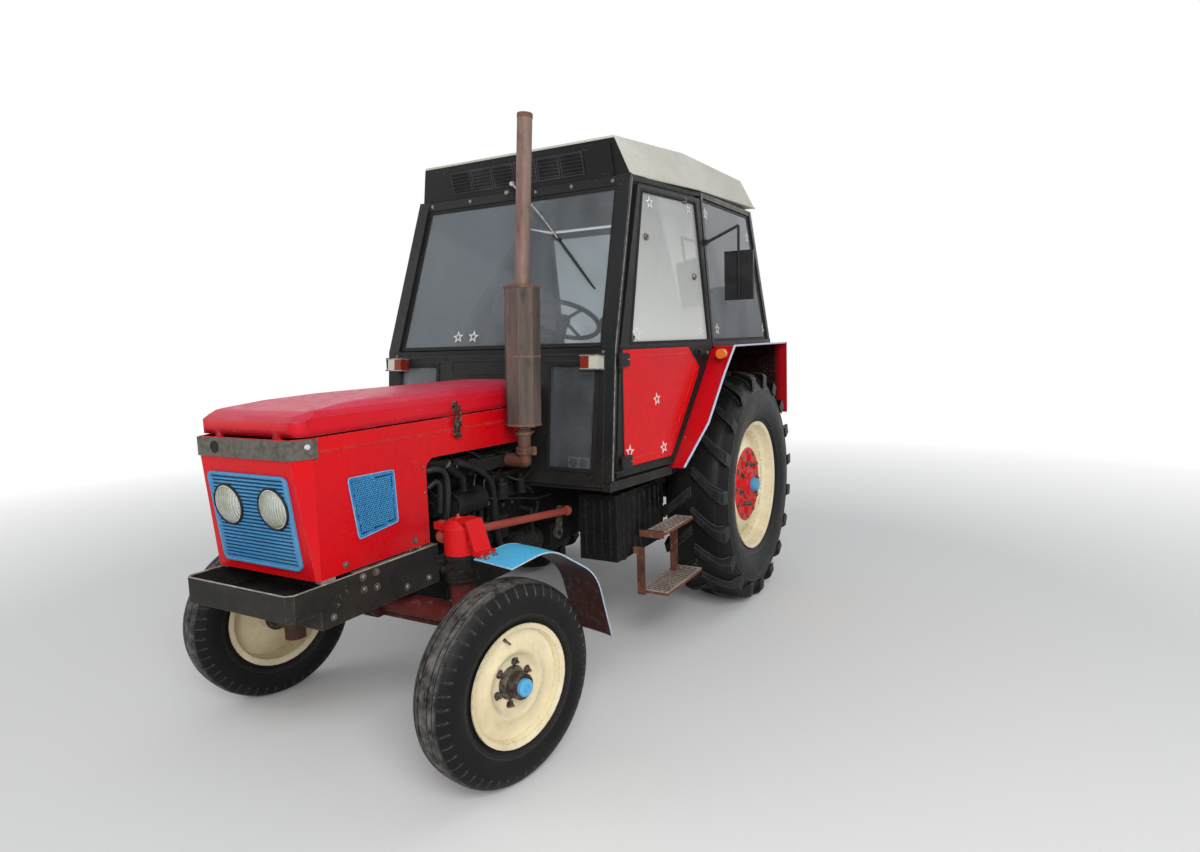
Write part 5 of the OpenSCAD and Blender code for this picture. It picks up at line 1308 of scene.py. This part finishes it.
def exhaust():
    """Rings round the muffler, clamps, elbow flange and the open top of the exhaust."""
    s = Shape()
    foot, head = Vector((357, -1610, 1210)), Vector((369, -1597, 1810))
    along = (head - foot).normalized()
    for point, reach in ((foot, 83), (head, 83), (foot.lerp(head, 0.5), 81.5)):
        place = facing(point, along) @ Matrix.Rotation(math.radians(22.5), 4, "Z")
        s.collar(reach - 4, reach, 5, place, 8)
    for z in (1170, 1084, 1100):
        s.collar(29, 38, 7, move(STACK_X, STACK_Y, z), 28)
    s.block(-14, 14, 30, 66, -5, 5, move(STACK_X, STACK_Y, 1170))
    s.block(30, 60, -10, 10, -18, 18, move(STACK_X, STACK_Y, 1092))
    s.bolt((STACK_X + 53, STACK_Y, 1100), (0, 0, 1), 15)
    s.bolt((STACK_X, STACK_Y + 48, 1174), (0, 0, 1), 13)
    mouth = facing((397, -1562, 2536), (0.038, 0.048, 1))
    s.turn([(33, -12), (34.5, -10), (34.5, 7), (29, 8), (29, -60), (0.01, -60)], mouth)
    s.piece("exhaust_rims", "scorched", bevel=0.8)


def outfit():
    """Step gratings, ribs and straps of the tanks, mirrors."""
    s = Shape()
    low = [(660, -1100), (660, -660), (810, -660), (810, -1100)]
    high = [(680, -1050), (680, -700), (780, -700), (780, -1050)]
    for corners, z in ((low, 334), (high, 622)):
        inner = [(x + (4 if x < 730 else -4), y + (4 if y < -880 else -4)) for x, y in corners]
        lattice(s, inner, 30, 44, 6, -1, 4, move(0, 0, z))
        s.border(corners[::-1], 7, -2, 6, move(0, 0, z))
    s.mirror().piece("step_gratings", "grating", bevel=0.8)

    s = Shape()
    tank_x, rib_low, rib_high = 640, 540, 820
    round_tank = [(432, 516), (644, 516), (644, 844), (432, 844)]
    for y in (-1232, -830):
        s.border(round_tank, 5, y, y + 26, columns((1, 0, 0), (0, 0, 1), (0, 1, 0)))
    s.turn([(44, 0), (44, 16), (36, 24), (0.01, 24)], move(520, -1000, 840), 24)
    side, front = move(tank_x, 0, 0) @ SIDE_VIEW, move(0, -1290, 0) @ FRONT_VIEW
    for y in range(-1180, -840, 62):
        s.prism(rounded(y - 9, y + 9, rib_low, rib_high, 8, 3), -1, 7, side, taper=3)
    for x in range(470, tank_x, 44):
        s.prism(rounded(x - 8, x + 8, rib_low, rib_high, 7, 3), -1, 6, front, taper=3)
    s.mirror().piece("tank_straps", "tank", bevel=1)

    s = Shape()
    x, y, z = POST_X + 128, POST_Y + 46, EAVE - 270
    pane = rounded(-x - 68, -x + 74, z - 301, z - 59, 18)
    s.prism(pane, y + 25, y + 27, REAR_VIEW)
    s.mirror().piece("mirror_glass", "mirror")
    s = Shape()
    s.ring(rounded(-x - 77, -x + 83, z - 310, z - 50, 24), pane, y + 5, y + 29, REAR_VIEW)
    s.mirror().piece("mirror_rims", "mirror_case", bevel=2)


def inside_cab():
    """Gauges, switches, grip rings and boss of the steering wheel, pedals, gaiter, sockets and seat."""
    s = Shape()
    board = move(0, -1128, 0) @ REAR_VIEW
    gauges = [(board @ move(x, 1425, 0), x, r) for x, r in ((0, 52), (-120, 40), (120, 40))]
    for place, _, r in gauges:
        s.turn([(r, 0), (r, 10), (r - 5, 13), (r - 8, 9), (r - 8, 0)], place)
    for x in range(-150, -13, 34):
        s.prism(rounded(x, x + 22, 1330, 1362, 4), 0, 9, board, taper=2)
    s.piece("gauge_bezels", "chrome")
    s = Shape()
    for place, x, bezel in gauges:
        r = bezel - 8
        s.turn([(r, 0), (r, 4), (0.01, 4)], place)
        for k in range(9):
            tick = place @ move(0, 0, 4) @ Matrix.Rotation(math.radians(30 * k - 30), 4, "Z")
            s.block(r - 9, r - 3, -0.8, 0.8, 0, 0.8, tick)
        needle = place @ move(0, 0, 3) @ Matrix.Rotation(math.radians(70 + x / 3), 4, "Z")
        s.block(-2, r - 8, -1, 1, 1, 2.5, needle)
    s.piece("gauge_faces", "gauge_marks")

    s = Shape()
    rim_r, column_lean = 205, math.radians(-30)
    hub = move(0, -670, 1690) @ Matrix.Rotation(column_lean, 4, "X")
    s.turn([(34, 14), (34, 19), (26, 25), (0.01, 27)], hub)
    for i in range(36):
        grip = hub @ Matrix.Rotation(math.radians(i * 10), 4, "Z") @ move(rim_r, 0, 0)
        s.turn([(12.6, -5), (14.4, -2.5), (14.4, 2.5), (12.6, 5), (12.6, -5)],
               grip @ Matrix.Rotation(math.pi / 2, 4, "X"), 12)
    s.piece("wheel_grips", "dash", "steering_wheel")

    s = Shape()
    tread = move(0, -894, 1070) @ Matrix.Rotation(math.radians(50), 4, "X")
    for x in (-190, 130, 190):
        s.tube(smooth_path([(x, -1010, 905), (x, -960, 1010), (x, -900, 1060)]), 9, 8)
        s.prism(rounded(x - 32, x + 32, -44, 44, 8), 0, 12, tread)
    s.turn([(52, 0), (40, 22), (18, 56), (10, 78), (0.01, 78)], move(131, -602, 903), 20)
    s.piece("pedals", "dash", bevel=1)

    s = Shape()
    plate = move(0, -1280, 0) @ FRONT_VIEW
    s.prism(rounded(382, 502, 962, 1016, 6), 0, 8, plate, taper=1)
    s.piece("socket_plate", "socket_white")
    s = Shape()
    for x in (413, 468):
        s.turn([(21, 8), (21, 15), (17, 18), (15, 11), (0.01, 11)], plate @ move(x, 989, 0), 28)
    s.piece("sockets", "dash")
    seat()


def pad(name, low, high, channels):
    """A sewn cushion: a rounded box puffed by cloth under pressure, then pulled in along its seams.
    channels holds (axis, place) of each seam."""
    bpy.ops.mesh.primitive_cube_add(size=2)
    made = bpy.context.active_object
    made.name = name
    centre, half = (Vector(high) + Vector(low)) / 2, (Vector(high) - Vector(low)) / 2
    before_puffing = 0.93
    for v in made.data.vertices:
        v.co = Vector((v.co[i] * half[i] * before_puffing for i in range(3))) * MM
    rounding = made.modifiers.new("edges", "BEVEL")
    rounding.width, rounding.segments = 0.03, 4
    remesh = made.modifiers.new("remesh", "REMESH")
    remesh.mode, remesh.voxel_size = "VOXEL", 0.009
    bpy.ops.object.modifier_apply(modifier="edges")
    bpy.ops.object.modifier_apply(modifier="remesh")
    rest = [v.co.copy() for v in made.data.vertices]
    cloth = made.modifiers.new("cloth", "CLOTH")
    cloth.settings.use_pressure = True
    cloth.settings.uniform_pressure_force = 3.0
    cloth.settings.effector_weights.gravity = 0
    for step in range(1, 16):
        bpy.context.scene.frame_set(step)
    bpy.ops.object.modifier_apply(modifier="cloth")
    bpy.context.scene.frame_set(1)
    most_shift = 0.016
    seam_depth, seam_width = 7, 9
    for v, start in zip(made.data.vertices, rest):
        shift = v.co - start
        if shift.length > most_shift:
            v.co = start + shift.normalized() * most_shift
        p = v.co / MM
        face = max(range(3), key=lambda i: abs(p[i]) / half[i])
        if face not in [axis for axis, _ in channels]:
            sink = sum(seam_depth * math.exp(-(((p[axis] - at) / seam_width) ** 2)) for axis, at in channels)
            v.co[face] -= math.copysign(sink * MM, p[face])
        for i in range(3):
            limit = half[i] * MM
            v.co[i] = max(-limit, min(limit, v.co[i]))
        v.co += centre * MM + Vector((0, AXLE_Y, 0))
    made.data.polygons.foreach_set("use_smooth", [True] * len(made.data.polygons))
    finer = made.modifiers.new("finer", "SUBSURF")
    finer.levels = finer.render_levels = 1
    made.data.materials.clear()
    made.data.materials.append(M["vinyl"])
    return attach(made, "root")


def seat():
    """Two sewn pads on a tray, a bellows and a foot."""
    cushion = pad("seat_cushion", (-228, -418, 1262), (228, 58, 1368), [(0, -120), (0, 120)])
    back = pad("seat_back", (-218, 62, 1292), (218, 148, 1748), [(0, -110), (0, 110)])
    s = Shape()
    s.prism(rounded(-225, 225, -410, 50, 30), 1240, 1266)
    for i in range(6):
        z, grow = 1120 + i * 20, 8 * (i % 2)
        s.prism(rounded(-128 - grow, 128 + grow, -158 - grow, 28 + grow, 20), z, z + 20)
    s.prism(rounded(-140, 140, -170, 40, 10), 1100.5, 1122)
    s.block(-100, 100, 130, 149, 1240, 1330)
    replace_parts(s.piece("seat_base", "dash", bevel=1.5), "seat")


# Wheels


def crown(x):
    """Radius of the front tyre's tread at x from its middle plane."""
    return FRONT_R - 10 * (abs(x) / 61.2) ** 3.2


def tread_points():
    """Outer section of the front tyre from one bead to the other: (x, radius, cut by sipes)."""
    half = [(62.9, 207), (63.5, 214), (66, 228), (70, 236), (75, 242), (76, 249),
            (79, 252), (82, 266), (84, 280), (85, 290), (84.5, 302),
            (82.5, 316), (79.5, 328), (76, 337), (70, 347), (64.5, 353.5)]
    points = [(x, r, 325 < r < 350) for x, r in half]
    for x in (60, 55):
        points.append((x, crown(x), True))
    for centre, g, depth in ((46, 3.5, 8), (24, 5.5, 12)):
        top = crown(centre)
        points += [(centre + g, top, False), (centre + g - 1.2, top - depth, False),
                   (centre - g + 1.2, top - depth, False), (centre - g, top, False)]
    points += [(12, crown(12), False), (0, crown(0), False)]
    return points + [(-x, r, cut) for x, r, cut in points[-2::-1]]


def front_tyre(side, word):
    """Ribbed tyre with narrow sipes across both shoulders."""
    hub, body = wheel(side, True), f"{word}_front_wheel"
    sipes, sipe_depth = 48, 6.5
    pitch = 360 / sipes
    points = tread_points()
    angles = [(i * pitch + a, deep) for i in range(sipes)
              for a, deep in ((0, 1), (0.5, 1), (0.56, 0), (3.9, 0), (7.44, 0))]
    verts = [(x, *around(r - sipe_depth * deep * cut, angle))
             for angle, deep in angles for x, r, cut in points]
    n, m = len(points), len(angles)
    faces = [[k * n + i, k * n + (i + 1) % n, (k + 1) % m * n + (i + 1) % n, (k + 1) % m * n + i]
             for k in range(m) for i in range(n)]
    s = Shape()
    s.add(verts, faces, hub)
    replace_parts(s.piece(f"{word}_front_tread", f"{word}_front_tyre", body), f"{word}_front_tyre")
    s = Shape()
    path = [(60, 351.5), (64.5, 349), (70, 342.5), (76, 332.5), (79.5, 323.5)]
    for i in range(sipes):
        turn = hub @ Matrix.Rotation(math.radians(-(i * pitch + 0.25)), 4, "X")
        for half in (1, -1):
            s.tube([turn @ Vector((half * x, 0, r)) for x, r in path], 1.7, 4)
    s.piece(f"{word}_front_sipes", "sipe", body)


def bolt_circle(s, hub, radius, count, start, face, size, stud=None):
    """Bolts round a wheel's axle; stud holds (radius, reach, sides) of the ends that stand out."""
    out = out_of(hub, 0)
    for i in range(count):
        spot = hub @ Vector((face, *around(radius, start + 360 / count * i)))
        s.bolt(spot, out, size)
        if stud:
            r, reach, sides = stud
            s.turn([(r, 0), (r, reach), (0.01, reach + 1)], facing(spot, out), sides)


def front_rim(side, word):
    """Pressed disc with its ring, nuts, valve and hub cap."""
    hub, body = wheel(side, True), f"{word}_front_wheel"
    axle = hub @ SIDE_VIEW
    s = Shape()
    face = [(197, 45), (191, 43), (186, 42), (172, 41), (158, 42), (146, 44), (137, 47), (130, 51), (123, 53),
            (116, 51), (110, 46), (104, 39), (96, 33), (86, 29), (72, 27.5), (60, 27)]
    s.turn(face + [(60, 15), (110, 15), (195, 34), (197, 45)], axle, 72)
    s.piece(f"{word}_front_disc", f"{word}_front_rim", body)
    s = Shape()
    bolt_circle(s, hub, 77, 6, 18, 28, 20, (5, 22, 10))
    valve = facing(hub @ Vector((36, -40, 176)), hub.to_3x3() @ Vector((1, 0.1, -0.35)))
    s.turn([(6, 0), (6, 14), (4, 16), (4, 38), (0.01, 39)], valve, 10)
    s.turn([(47, 40), (60, 26), (60, 29), (49, 50), (47, 50), (47, 40)], axle)
    s.piece(f"{word}_front_nuts", "nuts", body)
    s = Shape()
    s.turn([(28, 85), (31, 86), (31, 103), (27, 107), (13, 108), (11, 103), (0.01, 103)], axle)
    s.piece(f"{word}_front_cap", "cap_blue", body, bevel=0.8)


# Half of the rear tyre's outer section, from the bead to the middle: (radius, x)
REAR_SECTION = [(372, 138), (384, 143), (398, 153), (410, 158), (413, 163), (420, 164),
                (440, 173), (470, 181), (503, 185.5), (535, 185), (562, 180),
                (566, 182), (574, 181), (577, 177), (600, 168), (625, 152),
                (641, 134), (649, 105), (653, 60), (653, 0)]
# Lug from the middle to the side wall: (x, top radius, foot radius, half width along the tread)
LUG = [(3, 678, 640, 20), (8, 680, 640, 23), (45, 680, 644, 24), (85, 679.5, 642, 25), (120, 678, 634, 27),
       (150, 675, 618, 30), (172, 666, 598, 33), (183.5, 652, 588, 34), (185, 612, 584, 28)]


def rear_tread(side, word):
    """Tyre with deep slanting lugs that end square over the side wall."""
    hub = wheel(side, False)
    lugs, tread_r, bend = 19, 650, 120
    s = Shape()
    section = REAR_SECTION + [(r, -x) for r, x in REAR_SECTION[-2::-1]]
    s.turn(section + section[:1], hub @ SIDE_VIEW, 96)
    n = len(LUG)
    faces = [[4 * k + j, 4 * k + (j + 1) % 4, 4 * k + 4 + (j + 1) % 4, 4 * k + 4 + j]
             for k in range(n - 1) for j in range(4)]
    faces += [[0, 1, 2, 3], [4 * n - 4, 4 * n - 3, 4 * n - 2, 4 * n - 1]]
    for half in (1, -1):
        for i in range(lugs):
            start = math.tau * (i + half / 4) / lugs
            verts = []
            for x, top, foot, width in LUG:
                slant = (x - 85) * 0.86 if x < bend else (x - 85) * 0.6 + 9
                for r, reach in ((top, width - 3), (top, 3 - width), (foot, -width - 4), (foot, width + 4)):
                    a = start + (slant + reach) / tread_r
                    verts.append((half * x, -r * math.sin(a), r * math.cos(a)))
            s.add(verts, faces, hub)
    tyre = s.piece(f"{word}_rear_tread", f"{word}_rear_tyre", f"{word}_rear_wheel", bevel=3)
    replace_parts(tyre, f"{word}_rear_tyre")


def rear_wheel(side, word):
    """Bolts and casting holes of the red hub, the shaft's blue end and rim bolts."""
    hub, body = wheel(side, False), f"{word}_rear_wheel"
    face = 850 - REAR_X
    axle = hub @ SIDE_VIEW
    s = Shape()
    bolt_circle(s, hub, 128, 8, 12, face, 25, (7, 27, 12))
    bolt_circle(s, hub, 198, 12, 0, face, 17)
    s.piece(f"{word}_rear_bolts", "nuts", body, bevel=0.6)
    s = Shape()
    for i in range(8):
        hole = axle @ move(*around(158, 34.5 + 45 * i), face)
        s.turn([(24, -4), (24, 6), (19, 7.5), (17, 1), (0.01, 0.6)], hole, 24)
    s.turn([(95, -2), (95, 6), (88, 13), (74, 15), (70, 26), (52, 30), (40, 30), (37, 22)],
           axle @ move(0, 0, face), 48)
    s.piece(f"{word}_rear_hub", "hub_red", body, bevel=0.8)
    s = Shape()
    s.turn([(37, 20), (37.6, 22), (37.6, 58), (35, 64.4), (27, 64.8), (24, 56), (0.01, 56)],
           axle @ move(0, 0, face), 36)
    s.piece(f"{word}_rear_cap", "cap_blue", body, bevel=0.8)
    s = Shape()
    bolt_circle(s, hub, 290, 8, 22.5, 58, 18)
    s.piece(f"{word}_rear_rim_bolts", f"{word}_front_rim", body, bevel=0.6)


def wheels():
    for side, word in SIDES:
        front_tyre(side, word)
        front_rim(side, word)
        rear_tread(side, word)
        rear_wheel(side, word)


# Rear hitch


def hitch():
    """Splines of the shaft, bolts of the housing and the shaft's cover."""
    s = Shape()
    shaft_z = 620
    shaft = move(0, 0, shaft_z) @ Matrix.Rotation(-math.pi / 2, 4, "X")
    for i in range(6):
        s.block(-3.5, 3.5, 14.5, 17.4, 215, 299, shaft @ Matrix.Rotation(math.radians(60 * i), 4, "Z"))
    for i in range(10):
        x, z = around(150, 36 * i)
        s.bolt((x, 190, 660 + z), (0, 1, 0), 15)
    s.piece("hitch_bolts", "steel")
    s = Shape()
    s.turn([(100, -2), (100, 8), (40, 14), (40, 20), (22, 20)], facing((0, 190, shaft_z), (0, 1, 0)), 40)
    s.piece("shaft_cover", "grime", bevel=1)


# Floor, background, lamps and camera


def floor_material():
    """Pale matt floor that runs out into the white background where the camera sees it."""
    s = Shader("floor_pale", Roughness=0.9)
    s.surface.inputs["Base Color"].default_value = (0.8, 0.8, 0.79, 1)
    reach = s.vector("LENGTH", s.place, output="Value")
    rays = s.node("ShaderNodeLightPath").outputs
    seen = s.math("MAXIMUM", rays["Is Camera Ray"],
                  s.math("MAXIMUM", rays["Is Glossy Ray"], rays["Is Transmission Ray"]))
    far = s.math("MULTIPLY", s.step(reach, 3.2, 8.0), seen)
    return s.blend(far, s.surface, s.node("ShaderNodeEmission", {"Color": (1, 1, 1, 1), "Strength": 1.0}))


def white_world():
    """Soft studio light from all round; what the camera sees of it, also in mirrors and through glass,
    is white."""
    world = bpy.data.worlds.new("studio")
    bpy.context.scene.world = world
    world.use_nodes = True
    tree = world.node_tree
    background = tree.nodes["Background"]
    background.inputs["Color"].default_value = (0.93, 0.96, 1, 1)
    background.inputs["Strength"].default_value = 0.42
    white = tree.nodes.new("ShaderNodeBackground")
    white.inputs["Color"].default_value = (1, 1, 1, 1)
    white.inputs["Strength"].default_value = 1.0
    rays = tree.nodes.new("ShaderNodeLightPath").outputs
    seen = rays["Is Camera Ray"]
    for kind in ("Is Glossy Ray", "Is Transmission Ray"):
        most = tree.nodes.new("ShaderNodeMath")
        most.operation = "MAXIMUM"
        tree.links.new(seen, most.inputs[0])
        tree.links.new(rays[kind], most.inputs[1])
        seen = most.outputs[0]
    share = tree.nodes.new("ShaderNodeMixShader")
    for i, source in enumerate((seen, background.outputs[0], white.outputs[0])):
        tree.links.new(source, share.inputs[i])
    tree.links.new(share.outputs[0], tree.nodes["World Output"].inputs["Surface"])


def scene_setup():
    """Floor, white background, studio lamps and the camera that stands where the photo's did."""
    scene = bpy.context.scene
    mesh = bpy.data.meshes.new("floor")
    mesh.from_pydata([(-40, -40, 0), (40, -40, 0), (40, 40, 0), (-40, 40, 0)], [], [[0, 1, 2, 3]])
    floor = bpy.data.objects.new("floor", mesh)
    scene.collection.objects.link(floor)
    mesh.materials.append(floor_material())
    white_world()

    aim = Vector((0, 0, 1.0))
    for name, place, size, power in (
        ("key", (5.0, -5.5, 4.6), 4.0, 420),
        ("fill", (-6, -4.5, 4.0), 5.0, 120),
        ("back", (3.5, 6.5, 4.5), 4.0, 85),
    ):
        lamp = bpy.data.lights.new(name, "AREA")
        lamp.energy, lamp.size = power, size
        holder = bpy.data.objects.new(name, lamp)
        scene.collection.objects.link(holder)
        holder.location = place
        holder.rotation_euler = (aim - Vector(place)).to_track_quat("-Z", "Y").to_euler()

    lens = bpy.data.cameras.new("camera")
    camera = bpy.data.objects.new("camera", lens)
    scene.collection.objects.link(camera)
    right, up = Vector((0.87134, 0.48974, -0.03053)), Vector((-0.02906, 0.11362, 0.99310))
    ahead = Vector((-0.48983, 0.86444, -0.11324))
    camera.matrix_world = Matrix.Translation((2.300, -3.388, 1.572)) @ columns(right, up, -ahead)
    focal_pixels, photo_width, sensor_mm = 754.6, 1200, 36
    lens.sensor_fit, lens.sensor_width = "HORIZONTAL", sensor_mm
    lens.lens = sensor_mm * focal_pixels / photo_width
    lens.clip_end = 200
    scene.camera = camera
    scene.view_settings.view_transform = "Standard"


# Everything in order

dress_nodes()
nose()
front_frame()
knuckles()
engine()
doors()
cab()
fenders()
front_fenders()
roof()
wiper()
exhaust()
outfit()
inside_cab()
wheels()
hitch()
scene_setup()
